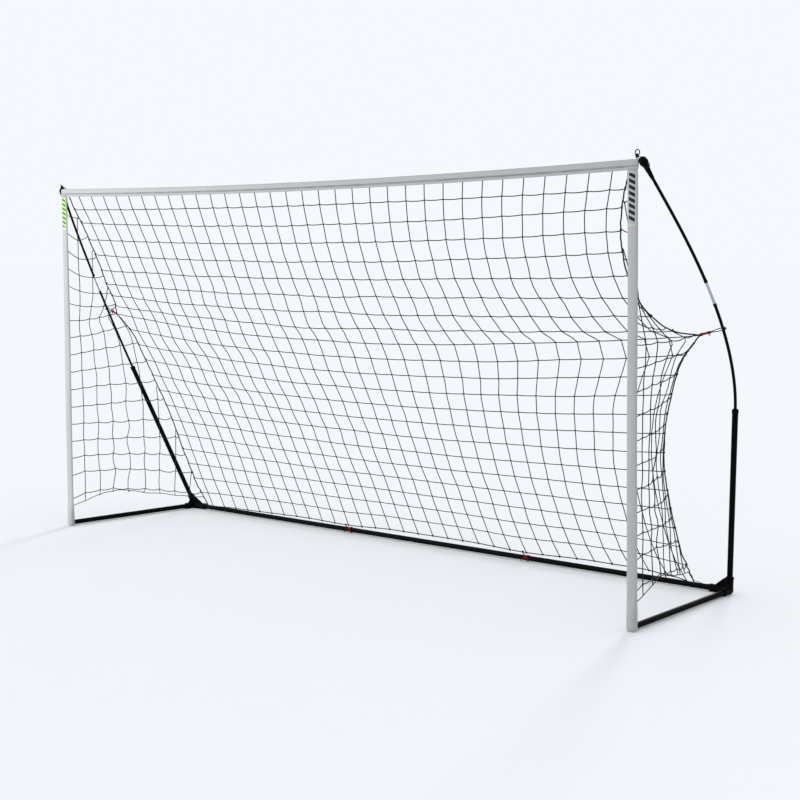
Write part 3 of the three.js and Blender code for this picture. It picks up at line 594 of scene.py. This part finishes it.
bar_inner = BAR_END - 0.02
stations = [-BAR_END + HALF_CLOTH, -BAR_END + 0.003, -BAR_END + 0.009]
stations += [-bar_inner + 2 * bar_inner * i / 420 for i in range(421)]
stations += [BAR_END - 0.009, BAR_END - 0.003, BAR_END - HALF_CLOTH]
crossbar = skin("crossbar_sleeve_cloth", stations, BAR_AROUND, bar_place, True, True)
ring = [bar_place(HALF_CLOTH - BAR_END, 2 * math.pi * k / BAR_AROUND) for k in range(BAR_AROUND)]
bar_girth = sum((ring[k] - ring[k - 1]).length for k in range(BAR_AROUND))
front_fold, back_fold = bar_girth * 0.7011, bar_girth * 0.2989
# painted shade darkens the cloth along its front and back folds
crossbar.data.materials.append(coated_cloth(
    "crossbar cloth", (front_fold - 0.0022, front_fold + 0.0016, back_fold), (front_fold, back_fold)))
thick = crossbar.modifiers.new("cloth thickness", "SOLIDIFY")
thick.thickness, thick.offset = 0.0010, -1
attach(crossbar, "frame")
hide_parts("crossbar_sleeve")

# ---------------------------------------------------------------- net
# The net is knotted from black twine in squares of about 100 mm. It hangs from the crossbar
# and posts, is pulled out to the bows a third of the way down, and runs on to the rear bar.
TWINE = 0.0021               # half the twine's thickness
ROPE = 0.0030                # half the thickness of the seam and hem ropes
MESH = 0.0597                # spacing of the back net's upright twines, in half-widths
ROWS = 22                    # rows of squares in the back net
PULLED_ROW = 9               # the row that the bows pull out
SIDE_ROWS = 18               # rows of squares in a side net
SIDE_MESH = 0.082            # spacing of a side net's upright twines
KNOT = 0.0028                # half a knot's size


def strand(shape, path, radius, sides=6):
    """Adds a round twine along a path to a shape, with u along it and v round it in turns."""
    points, faces, marks = shape
    first, run_so_far, normal, runs = len(points), 0.0, None, []
    for i, point in enumerate(path):
        tangent = (path[min(i + 1, len(path) - 1)] - path[max(i - 1, 0)]).normalized()
        normal = tangent.orthogonal() if normal is None else normal - tangent * normal.dot(tangent)
        normal.normalize()
        across = tangent.cross(normal)
        if i:
            run_so_far += (point - path[i - 1]).length
        runs.append(run_so_far)
        reach = radius(i / (len(path) - 1)) if callable(radius) else radius
        for k in range(sides):
            a = 2 * math.pi * k / sides
            points.append(point + (normal * math.cos(a) + across * math.sin(a)) * reach)
    for i in range(len(path) - 1):
        for k in range(sides):
            after = (k + 1) % sides
            faces.append((first + i * sides + k, first + i * sides + after,
                          first + (i + 1) * sides + after, first + (i + 1) * sides + k))
            marks.append(((runs[i], k / sides), (runs[i], (k + 1) / sides),
                          (runs[i + 1], (k + 1) / sides), (runs[i + 1], k / sides)))
    last = first + (len(path) - 1) * sides
    for start, turn, run in ((first, -1, 0.0), (last, 1, run_so_far)):
        faces.append(tuple(start + k for k in range(sides))[::turn])
        marks.append(tuple((run, k / sides) for k in range(sides))[::turn])


def through(points, pieces):
    """A smooth path through points, in so many pieces between each two."""
    points = [Vector(p) for p in points]
    path = []
    for i in range(len(points) - 1):
        a, b = points[max(i - 1, 0)], points[i]
        c, d = points[i + 1], points[min(i + 2, len(points) - 1)]
        for k in range(pieces):
            t = k / pieces
            path.append(0.5 * (2 * b + (c - a) * t + (2 * a - 5 * b + 4 * c - d) * t * t
                               + (3 * b - a - 3 * c + d) * t ** 3))
    return path + [points[-1]]


# twist: the lay of a twisted or braided yarn, from marks along and round it
twist, given, wanted = group("twist", {"Pitch": 0.006, "Strands": 3.0},
                             {"Height": "NodeSocketFloat", "Tone": "NodeSocketFloat"})
lay = laid_out(twist)
wound = maths(twist, "ADD", maths(twist, "DIVIDE", lay["X"], given.outputs["Pitch"]), lay["Y"])
wound = maths(twist, "MULTIPLY", wound, given.outputs["Strands"])
wound = maths(twist, "SINE", maths(twist, "MULTIPLY", wound, 2 * math.pi))
wound = node(twist, "ShaderNodeMapRange", {"Value": wound, "From Min": -1.0})
twist.links.new(wound.outputs[0], wanted.inputs["Height"])
twist.links.new(cloudy(twist, 90.0, 4.0), wanted.inputs["Tone"])


def yarn(name, dark, light, pitch, count, depth):
    """A fibrous yarn whose strands show as diagonal ridges, in relief and with painted shade darkening the
    grooves between them.
    """
    material, tree, shader = finish(name, {"Specular IOR Level": 0.2, "Sheen Weight": 0.05})
    wind = placed(tree, twist, {"Pitch": pitch, "Strands": count}).outputs
    # painted shade: light colour on the strands' ridges, dark colour in the grooves between them
    groove_shade = mixed(tree, wind["Height"], dark, light)
    surface(tree, shader, mixed(tree, spread(tree, wind["Tone"], 0.0, 0.5), groove_shade, dark),
            spread(tree, wind["Tone"], 0.72, 0.95), wind["Height"], depth)
    return material


twine_yarn = yarn("black twine", (0.003, 0.003, 0.0035), (0.014, 0.014, 0.016), 0.007, 2.0, 0.0003)
rope_yarn = yarn("black rope", (0.003, 0.003, 0.0035), (0.016, 0.016, 0.018), 0.011, 3.0, 0.0006)


def fitted(name, shape, material, stands_for=None):
    """A finished piece of net or cord that stays with the frame."""
    piece = shaped(name, *shape)
    piece.data.materials.append(material)
    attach(piece, "frame")
    if stands_for:
        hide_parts(stands_for)
    return piece


SEAM_TOP = [(1.788, 0.010, 1.786), (1.764, 0.027, 1.720), (1.735, 0.048, 1.650), (1.711, 0.076, 1.560),
            (1.698, 0.108, 1.478)]
SEAM_PULLED = {-1: [(1.699, 0.146, 1.395), (1.716, 0.190, 1.320), (1.744, 0.247, 1.255),
                    (1.803, 0.315, 1.196), (1.888, 0.386, 1.147)],
               1: [(1.699, 0.146, 1.385), (1.716, 0.190, 1.296), (1.744, 0.247, 1.222),
                   (1.803, 0.315, 1.162), (1.888, 0.386, 1.145)]}
SEAM_BELOW = [(1.888, 0.386, 1.147), (1.821, 0.406, 1.080), (1.764, 0.425, 1.000), (1.681, 0.471, 0.800),
              (1.628, 0.536, 0.600), (1.612, 0.612, 0.400), (1.610, 0.701, 0.200), (1.614, 0.755, 0.110),
              (1.618, 0.800, 0.042)]
MIDDLE_ABOVE = [(0.000, 1.768), (0.012, 1.700), (0.035, 1.610), (0.060, 1.527), (0.095, 1.440),
                (0.130, 1.360), (0.170, 1.279), (0.210, 1.200), (0.255, 1.125), (0.305, 1.057)]
MIDDLE_FOOT = (0.800, 0.055)
# half the width that the upright twines keep to on each row, which lags behind the seam's
SPREAD = [1.788, 1.764, 1.735, 1.711, 1.698, 1.699, 1.716, 1.744, 1.776, 1.820, 1.818, 1.766, 1.722,
          1.688, 1.658, 1.640, 1.627, 1.617, 1.615, 1.616, 1.621, 1.628, 1.650]

seam_above = {side: through(SEAM_TOP + SEAM_PULLED[side], 6) for side in (-1, 1)}
seam_below = through(SEAM_BELOW, 10)


def on_line(line, share):
    """The point at a share of a line's length."""
    lengths = [0.0]
    for a, b in zip(line, line[1:]):
        lengths.append(lengths[-1] + (b - a).length)
    target = share * lengths[-1]
    for i in range(len(line) - 1):
        if lengths[i + 1] >= target:
            return line[i].lerp(line[i + 1], (target - lengths[i]) / (lengths[i + 1] - lengths[i]))
    return line[-1].copy()


def at_height(line, z):
    """The point of a falling line at a height."""
    for a, b in zip(line, line[1:]):
        if b.z <= z <= a.z:
            return a.lerp(b, (a.z - z) / (a.z - b.z))
    return line[-1].copy()


seam_rows, middle_rows = {-1: [], 1: []}, []
for row in range(ROWS + 1):
    share = (row - PULLED_ROW) / (ROWS - PULLED_ROW)
    for side in (-1, 1):
        if row <= PULLED_ROW:
            seam_rows[side].append(Vector((SEAM_TOP + SEAM_PULLED[side])[row]))
        else:
            seam_rows[side].append(at_height(seam_below, 1.147 - 1.105 * share))
    if row <= PULLED_ROW:
        middle_rows.append(Vector((0, *MIDDLE_ABOVE[row])))
    else:
        middle_rows.append(Vector((0, *MIDDLE_ABOVE[-1])).lerp(Vector((0, *MIDDLE_FOOT)), share))
HEM_HEIGHTS = [(-1.62, 0.042), (-1.40, 0.048), (-0.80, 0.052), (-0.503, 0.046), (-0.15, 0.057), (0.33, 0.058),
               (0.677, 0.050), (1.10, 0.064), (1.35, 0.066), (1.52, 0.056), (1.62, 0.042)]


def hem_height(x):
    """How high the foot of the net hangs, which is least where it is tied down."""
    for (a, low), (b, high) in zip(HEM_HEIGHTS, HEM_HEIGHTS[1:]):
        if x <= b:
            return low + (high - low) * ease(x, a, b)
    return HEM_HEIGHTS[-1][1]


def back_point(row, x):
    """A point of the back net on a row, which may lie between two knots."""
    low_row = min(int(row), ROWS - 1)
    part = row - low_row
    side_rows = seam_rows[1 if x > 0 else -1]
    edge = side_rows[low_row].lerp(side_rows[low_row + 1], part)
    middle = middle_rows[low_row].lerp(middle_rows[low_row + 1], part)
    out = min(abs(x) / edge.x, 1) ** 2
    y, z = middle.y + (edge.y - middle.y) * out, middle.z + (edge.z - middle.z) * out
    z += (hem_height(x) - 0.052) * ease(row, ROWS - 4, ROWS)
    if row == 0:
        z = bar_top(x) - 2 * BAR_HALF_HEIGHT + 0.004
    free = math.sin(math.pi * min(row / ROWS, 1)) * (1 - out ** 6)
    wander = 0.010 if row < PULLED_ROW else 0.005
    x += wander * free * wavering(x * 2.3, row * 0.9, 0.2, 11)
    y += 0.012 * free * wavering(x * 1.9, row * 0.8, 0.5, 12)
    z += wander * free * wavering(x * 2.9, row * 1.1, 0.9, 13)
    return Vector((x, y + GOAL_LINE, z))


def slack_between(a, b, drop, seed):
    """The path of one twine between two knots, a little slack."""
    side_way = wavering(a.x * 5 + seed, a.y * 5, a.z * 5, 21)
    points = []
    for t in (0, 0.33, 0.67):
        hang = math.sin(math.pi * t)
        p = a.lerp(b, t)
        p.z -= drop * hang
        p.y += 0.0025 * side_way * hang
        points.append(p)
    return points


def knot(shape, centre, size, seed):
    """A sheet-bend knot: one twine turned round the crossing and over itself."""
    turn = Matrix.Rotation(seed * 1.7, 3, Vector((0.2, 1, 0.1)).normalized())
    path = []
    for i in range(13):
        a = 2 * math.pi * i / 9
        path.append(centre + turn @ (Vector((math.cos(a) * size, 0.62 * size * math.sin(2 * a + 0.6),
                                             math.sin(a) * size * 0.8))))
    strand(shape, path, TWINE * 0.8, 5)


columns = [MESH * (k - 16) + 0.0044 for k in range(33)]


def column_x(row, share):
    """How far out an upright twine runs on a row, from its share of the net's half-width."""
    low_row = min(int(row), ROWS - 1)
    return share * (SPREAD[low_row] + (SPREAD[low_row + 1] - SPREAD[low_row]) * (row - low_row))


twines, knots = ([], [], []), ([], [], [])
crossings = {}
for row in range(ROWS):
    for k, share in enumerate(columns):
        if abs(share) < 0.99:
            crossings[row, k] = back_point(row, column_x(row, share))
            if row:
                knot(knots, crossings[row, k], KNOT, row * 3.1 + k)

for row in range(1, ROWS):
    ends = [back_point(row, side * seam_rows[side][row].x) for side in (-1, 1)]
    stops = [ends[0]] + [crossings[row, k] for k in range(len(columns)) if (row, k) in crossings] + [ends[1]]
    path = []
    drop = 0.0035 if row < PULLED_ROW else 0.0018
    for n, (a, b) in enumerate(zip(stops, stops[1:])):
        path += slack_between(a, b, drop * (0.6 + 0.8 * abs(wavering(n * 0.7, row * 0.9, 0, 31))), n + row)
    strand(twines, path + [stops[-1]], TWINE)

for share in columns:
    run = []
    for step_down in range(ROWS * 3 + 1):
        row = step_down / 3
        run.append(back_point(row, column_x(row, share)))
    strand(twines, run, TWINE)

fitted("net_back_twine", twines, twine_yarn, "net_back")
fitted("net_back_knots", knots, twine_yarn)


FOOT_LINE = [(0, 0.105), (0.12, 0.126), (0.22, 0.150), (0.30, 0.166), (0.38, 0.170), (0.56, 0.140),
             (0.80, 0.108), (1, 0.086)]


def foot_height(t):
    """How high a side net's lower edge hangs, from the post to the seam."""
    for (a, low), (b, high) in zip(FOOT_LINE, FOOT_LINE[1:]):
        if t <= b:
            return low + (high - low) * (t - a) / (b - a)
    return FOOT_LINE[-1][1]


def side_point(side, row, reach):
    """A point of a side net, reach metres behind the post along a row."""
    share = row / SIDE_ROWS
    z = 1.786 - 1.701 * share
    post = Vector((post_x(z), 0.009, z))
    upper_share = min(row / 7.2, 1)
    seam = on_line(seam_above[side], upper_share) if row <= 7.2 else on_line(
        seam_below, (row - 7.2) / (SIDE_ROWS - 7.2))
    low_edge = ease(row, SIDE_ROWS - 1.5, SIDE_ROWS)
    post.z += (0.105 - post.z) * low_edge
    seam = seam.lerp(Vector((1.613, 0.765, 0.088)), low_edge)
    across = seam - post
    length = across.length
    t = min(reach / length, 1)
    point = post + across * t
    point.x = post.x + across.x * t ** 1.5
    inner = math.sin(math.pi * t)
    away_from_post = 1 - math.exp(-reach / 0.05)
    point.z -= 0.046 * away_from_post * min(max((z - 0.95) / 0.65, 0), 1) * (1 - t ** 4)
    low_lift = min(max((row - 13.5) / 4.0, 0), 1)
    point.z += 0.042 * low_lift * away_from_post * (1 - t ** 3)
    point.z += (foot_height(t) - point.z) * low_edge
    free = inner * (0.4 + 0.6 * share)
    loose = 0.012 + 0.016 * share * t
    point.x += loose * free * wavering(reach * 8, row * 0.9, side, 41)
    point.y += loose * free * wavering(reach * 8, row * 0.9, side + 3, 42)
    point.z += 0.7 * loose * free * wavering(reach * 8, row * 0.9, side + 6, 43)
    return Vector((side * point.x, point.y + GOAL_LINE, point.z)), t, length


def gather(row):
    """How closely the upright twines of a side net stand on a row."""
    return 0.86 + 0.22 * ease(row, 0, SIDE_ROWS)


for hand, side in HANDS:
    twines, knots = ([], [], []), ([], [], [])
    for row in range(1, SIDE_ROWS):
        start, _, length = side_point(side, row, 0)
        stops = [start]
        count = int(length / (SIDE_MESH * gather(row)))
        for m in range(1, count + 1):
            stops.append(side_point(side, row, m * SIDE_MESH * gather(row))[0])
            knot(knots, stops[-1], KNOT, row * 2.3 + m * 1.1 + side)
        stops.append(side_point(side, row, length)[0])
        path = []
        for n, (a, b) in enumerate(zip(stops, stops[1:])):
            near_seam = n / max(len(stops) - 2, 1)
            drop = 0.004 + 0.012 * near_seam * row / SIDE_ROWS
            path += slack_between(a, b, drop * (0.6 + 0.8 * abs(wavering(n * 0.9, row, side, 44))), n)
        strand(twines, path + [stops[-1]], TWINE)
    for m in range(1, 11):
        run = []
        for step_down in range(SIDE_ROWS * 3 + 1):
            row = step_down / 3
            reach = m * SIDE_MESH * gather(row)
            point, t, length = side_point(side, row, reach)
            inside = reach <= length
            if inside:
                if not run and step_down:
                    run.append(side_point(side, row, length)[0])
                run.append(point)
            if run and (not inside or step_down == SIDE_ROWS * 3):
                if len(run) > 2:
                    strand(twines, run, TWINE)
                run = []
    fitted("net_side_twine_" + hand, twines, twine_yarn, "net_side_" + hand)
    fitted("net_side_knots_" + hand, knots, twine_yarn)

# ---------------------------------------------------------------- net ropes
# A thicker rope is whipped along each corner seam and along the net's foot. Where the rows of
# both nets are tied to it, the wraps show as dark lumps.
SEAM_WOBBLE = 0.0035         # how far a seam rope strays from its line
FOOT_REACH = 1.618           # half the length of the net's foot
for hand, side in HANDS:
    ropes = ([], [], [])
    flipped = [Vector((side * p.x, p.y + GOAL_LINE, p.z)) for p in seam_above[side] + seam_below[1:]]
    for i, p in enumerate(flipped[1:-1], 1):
        p.x += SEAM_WOBBLE * wavering(i * 0.5, side, 0, 51)
        p.y += SEAM_WOBBLE * wavering(i * 0.5, side, 4, 52)
    strand(ropes, through(flipped, 2), ROPE, 8)
    for row in range(1, ROWS):
        place = back_point(row, side * seam_rows[side][row].x)
        for turn_number in range(2):
            knot(ropes, place + Vector((0, 0, 0.004 * turn_number)), 0.0042, row * 1.9 + turn_number + side)
    foot = side_point(side, SIDE_ROWS, 0)
    hem = [side_point(side, SIDE_ROWS, foot[2] * i / 24)[0] for i in range(25)]
    hem += [Vector((side * 1.614, 0.786 + GOAL_LINE, 0.062)),
            Vector((side * FOOT_REACH, 0.800 + GOAL_LINE, 0.043))]
    strand(ropes, through(hem, 3), ROPE * 0.62, 7)
    fitted("net_seam_rope_" + hand, ropes, rope_yarn)

ropes = ([], [], [])
foot_path = [back_point(ROWS, -FOOT_REACH + 2 * FOOT_REACH * i / 120) for i in range(121)]
strand(ropes, foot_path, ROPE * 0.8, 8)
for k, share in enumerate(columns):
    knot(ropes, back_point(ROWS, column_x(ROWS, share)), 0.0046, k * 1.3)
fitted("net_foot_rope", ropes, rope_yarn)

# ---------------------------------------------------------------- ties
# Dark red elastics hold the foot of the net to the rear bar, each wrapped twice, knotted and
# left with two short tails. Thin black ones go from the ends of the foot rope to the corners.
red_elastic = yarn("red elastic", (0.16, 0.004, 0.006), (0.36, 0.010, 0.013), 0.004, 4.0, 0.0002)
black_elastic = yarn("black elastic", (0.0015, 0.0015, 0.0018), (0.007, 0.007, 0.008), 0.004, 4.0, 0.0002)
REAR_LINE = 0.4169           # the rear bar's middle
TUBE_RADIUS = 0.0125
TUBE_HEIGHT = 0.016
TIE = 0.0013                 # half a tie's thickness
WRAP = TUBE_RADIUS + TIE + 0.0007  # from a tube's middle to a tie wrapped round it
SOCKET_RIM = 1.775 - 0.092 - 0.008  # just inside the rim of the corner's long socket


def overhand(shape, centre, size, radius, turn):
    """A pulled-tight overhand knot."""
    path = []
    for i in range(22):
        a = 2 * math.pi * i / 21 * 1.55
        path.append(centre + turn @ Vector((
            size * (math.sin(a) + 0.9 * math.sin(2 * a)) * 0.5,
            size * (math.cos(a) - 0.9 * math.cos(2 * a)) * 0.5,
            size * -0.55 * math.sin(3 * a))))
    strand(shape, path, radius, 7)


for hand, x in (("left", -0.503), ("right", 0.677)):
    ties = ([], [], [])
    hem_top = Vector((x, 0.800 + GOAL_LINE, hem_height(x) + 0.004))
    for lead in (-0.0035, 0.0035):
        wrap = [hem_top + Vector((lead * 0.4, 0.001, 0.003)),
                hem_top + Vector((lead * 0.6, -0.006, -0.003)),
                Vector((x + lead * 0.8, REAR_LINE - WRAP - 0.006, 0.030))]
        for angle in range(185, -176, -30):
            a = math.radians(angle)
            wrap.append((x + lead + (185 - angle) / 360 * 0.003, REAR_LINE + WRAP * math.cos(a),
                         TUBE_HEIGHT + WRAP * math.sin(a)))
        strand(ties, through(wrap, 4), TIE, 7)
    front = Vector((x, REAR_LINE - WRAP - 0.003, TUBE_HEIGHT + 0.005))
    overhand(ties, front, 0.0056, TIE, Matrix.Rotation(0.5, 3, "X"))
    overhand(ties, hem_top + Vector((-0.001, -0.003, 0.001)), 0.0050, TIE, Matrix.Rotation(0.2, 3, "Y"))
    for bends in (((-0.007, -0.006, 0.000), (-0.013, -0.014, -0.008), (-0.012, -0.024, -0.0155)),
                  ((0.008, -0.005, 0.002), (0.017, -0.010, -0.003), (0.027, -0.013, 0.001))):
        strand(ties, through([front] + [front + Vector(bend) for bend in bends], 5), TIE, 7)
    fitted("rear_tie_elastic_" + hand, ties, red_elastic, "rear_tie_" + hand)

for hand, side in HANDS:
    ties = ([], [], [])
    wrap = [(side * FOOT_REACH, 0.800 + GOAL_LINE, 0.043), (side * 1.636, REAR_LINE - 0.028, 0.039),
            (side * (SOCKET_RIM - 0.008), REAR_LINE - 0.020, TUBE_HEIGHT + 0.014)]
    for angle in range(130, -201, -30):
        a = math.radians(angle)
        wrap.append((side * (SOCKET_RIM + (130 - angle) / 330 * 0.003), REAR_LINE + WRAP * math.cos(a),
                     TUBE_HEIGHT + WRAP * math.sin(a)))
    strand(ties, through(wrap, 4), TIE, 7)
    overhand(ties, Vector((side * FOOT_REACH, 0.799 + GOAL_LINE, 0.043)), 0.0060, TIE,
             Matrix.Rotation(0.9, 3, "Y"))
    overhand(ties, Vector((side * (SOCKET_RIM - 0.001), REAR_LINE - 0.013, TUBE_HEIGHT + 0.014)), 0.0042, TIE,
             Matrix.Rotation(0.5, 3, "X"))
    fitted("hem_tie_elastic_" + hand, ties, black_elastic, "hem_tie_" + hand)

# ---------------------------------------------------------------- bow bungees
# A short red elastic is tied into the pulled-out point of each seam. From its knot two thin
# black ones run to the bow, where they are hitched round the rod with a small knot outside.
BOW = [Vector((1.9589, 0.5437, 0.8370)), Vector((2.0526, 0.3943, 1.2551)),
       Vector((1.8790, 0.0662, 1.7090)), Vector((1.8540, 0.0190, 1.8205))]
HITCH_AT = 0.368             # where the bungee loops round the bow, along it from its collar
HITCH_REACH = 0.0088         # from the rod's middle to the cord round it


def along_bow(side, distance):
    """The point on a bow at a distance along it."""
    run, last = 0.0, BOW[0]
    for i in range(1, 401):
        t = i / 400
        p = (BOW[0] * (1 - t) ** 3 + BOW[1] * 3 * t * (1 - t) ** 2
             + BOW[2] * 3 * t * t * (1 - t) + BOW[3] * t ** 3)
        run += (p - last).length
        last = p
        if run >= distance:
            break
    return Vector((side * last.x, last.y + GOAL_LINE, last.z))


for hand, side in HANDS:
    pull = Vector((side * 1.888, 0.386 + GOAL_LINE, 1.147))
    rod_centre = along_bow(side, HITCH_AT)
    lines = ([], [], [])
    way = (rod_centre - pull).normalized()
    gap = (rod_centre - pull).length
    across = way.cross(Vector((0, 0, 1))).normalized()
    upward_way = across.cross(way)
    join = pull + way * gap * 0.40
    for lead in (-1, 1):
        mid = join.lerp(rod_centre, 0.5) + upward_way * lead * 0.004
        hitch = [join, mid]
        for angle in range(100, 331, 33):
            a = math.radians(angle)
            hitch.append(rod_centre - way * HITCH_REACH * math.cos(a - math.radians(100) + 1.75)
                         + across * lead * HITCH_REACH * math.sin(a - math.radians(100) + 1.75)
                         + upward_way * (lead * 0.0045))
        strand(lines, through(hitch, 4), 0.0019, 7)
    overhand(lines, join, 0.0068, 0.0018, Matrix.Rotation(0.8, 3, "X"))
    overhand(lines, rod_centre + way * 0.0098, 0.0044, 0.0013, Matrix.Rotation(0.3, 3, "Z"))
    bungee = shaped("bow_bungee_black_" + hand, *lines)
    bungee.data.materials.append(black_elastic)
    lines = ([], [], [])
    for lead in (-1, 1):
        strand(lines, through([pull, pull.lerp(join, 0.5) + upward_way * lead * 0.0025, join], 5), 0.0026, 7)
    overhand(lines, pull + way * 0.004, 0.0060, 0.0022, Matrix.Rotation(1.4, 3, "Y"))
    overhand(lines, join - way * 0.004, 0.0070, 0.0021, Matrix.Rotation(0.4, 3, "X"))
    bends = ((0.008, -0.007, -0.019), (-0.009, -0.004, 0.017), (0.002, -0.010, 0.018))
    for bend in bends if side < 0 else bends[:1]:
        tail = join + Vector((side * bend[0], bend[1], bend[2])) * (1.1 if side < 0 else 0.7)
        strand(lines, through([join - way * 0.004, join.lerp(tail, 0.5) - way * 0.002, tail], 4), 0.0018, 7)
    red_part = shaped("bow_bungee_red_" + hand, *lines)
    red_part.data.materials.append(red_elastic)
    for piece, slot_name in ((bungee, "black_elastic"), (red_part, "red_elastic")):
        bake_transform(piece)
    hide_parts("bow_bungee_" + hand)

# ---------------------------------------------------------------- corner elastics
# A black elastic sewn into each top corner of the mouth loops over the ball on the bow's tip
# and round its neck, which pulls the cloth tight. Its knot stands on the corner, with a spare loop on the
# right and short tails on the left.
for hand, side in HANDS:
    ball = Vector((side * 1.854, 0.019 + GOAL_LINE, 1.8205))
    lean = Vector((-side * 0.18, -0.35, 0.92)).normalized()
    corner = Vector((side * 1.8345, GOAL_LINE - 0.001, 1.829))
    lines = ([], [], [])
    across = lean.cross(Vector((side, 0, 0))).normalized()
    outward = across.cross(lean)
    for lead in (-1, 1):
        loop = [corner, corner + Vector((0, 0, 0.011))]
        for height_on_ball, reach_out, reach_across in (
                (0.016, -0.012, 0.010), (0.004, -0.008, 0.0195), (-0.013, 0.004, 0.0185),
                (-0.025, 0.008, 0.0105), (-0.028, 0.0118, 0.0)):
            loop.append(ball + lean * height_on_ball + outward * reach_out + across * lead * reach_across)
        strand(lines, through(loop, 6), 0.00175, 8)
    knot_at = corner + Vector((0, -0.001, 0.013))
    overhand(lines, knot_at, 0.0070, 0.0024, Matrix.Rotation(0.4, 3, "X"))
    overhand(lines, knot_at + Vector((0, 0.001, 0.004)), 0.0056, 0.0023, Matrix.Rotation(1.2, 3, "Z"))
    if side > 0:
        ring = [knot_at + Vector((0.004 + 0.0100 * math.sin(a), -0.002, 0.0125 - 0.0110 * math.cos(a)))
                for a in [2 * math.pi * i / 18 for i in range(19)]]
        strand(lines, ring, 0.0021, 8)
    else:
        for bend in ((-0.010, -0.002, 0.014), (0.013, -0.003, 0.001), (-0.011, -0.002, -0.013)):
            strand(lines, through([knot_at, knot_at + Vector(bend) * 0.55 + Vector((0, -0.002, 0.001)),
                                   knot_at + Vector(bend)], 5), lambda t: 0.0018 * (1 - 0.3 * t), 8)
    elastic = shaped("corner_elastic_loop_" + hand, *lines)
    elastic.data.materials.append(black_elastic)
    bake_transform(elastic)
    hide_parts("corner_elastic_" + hand)
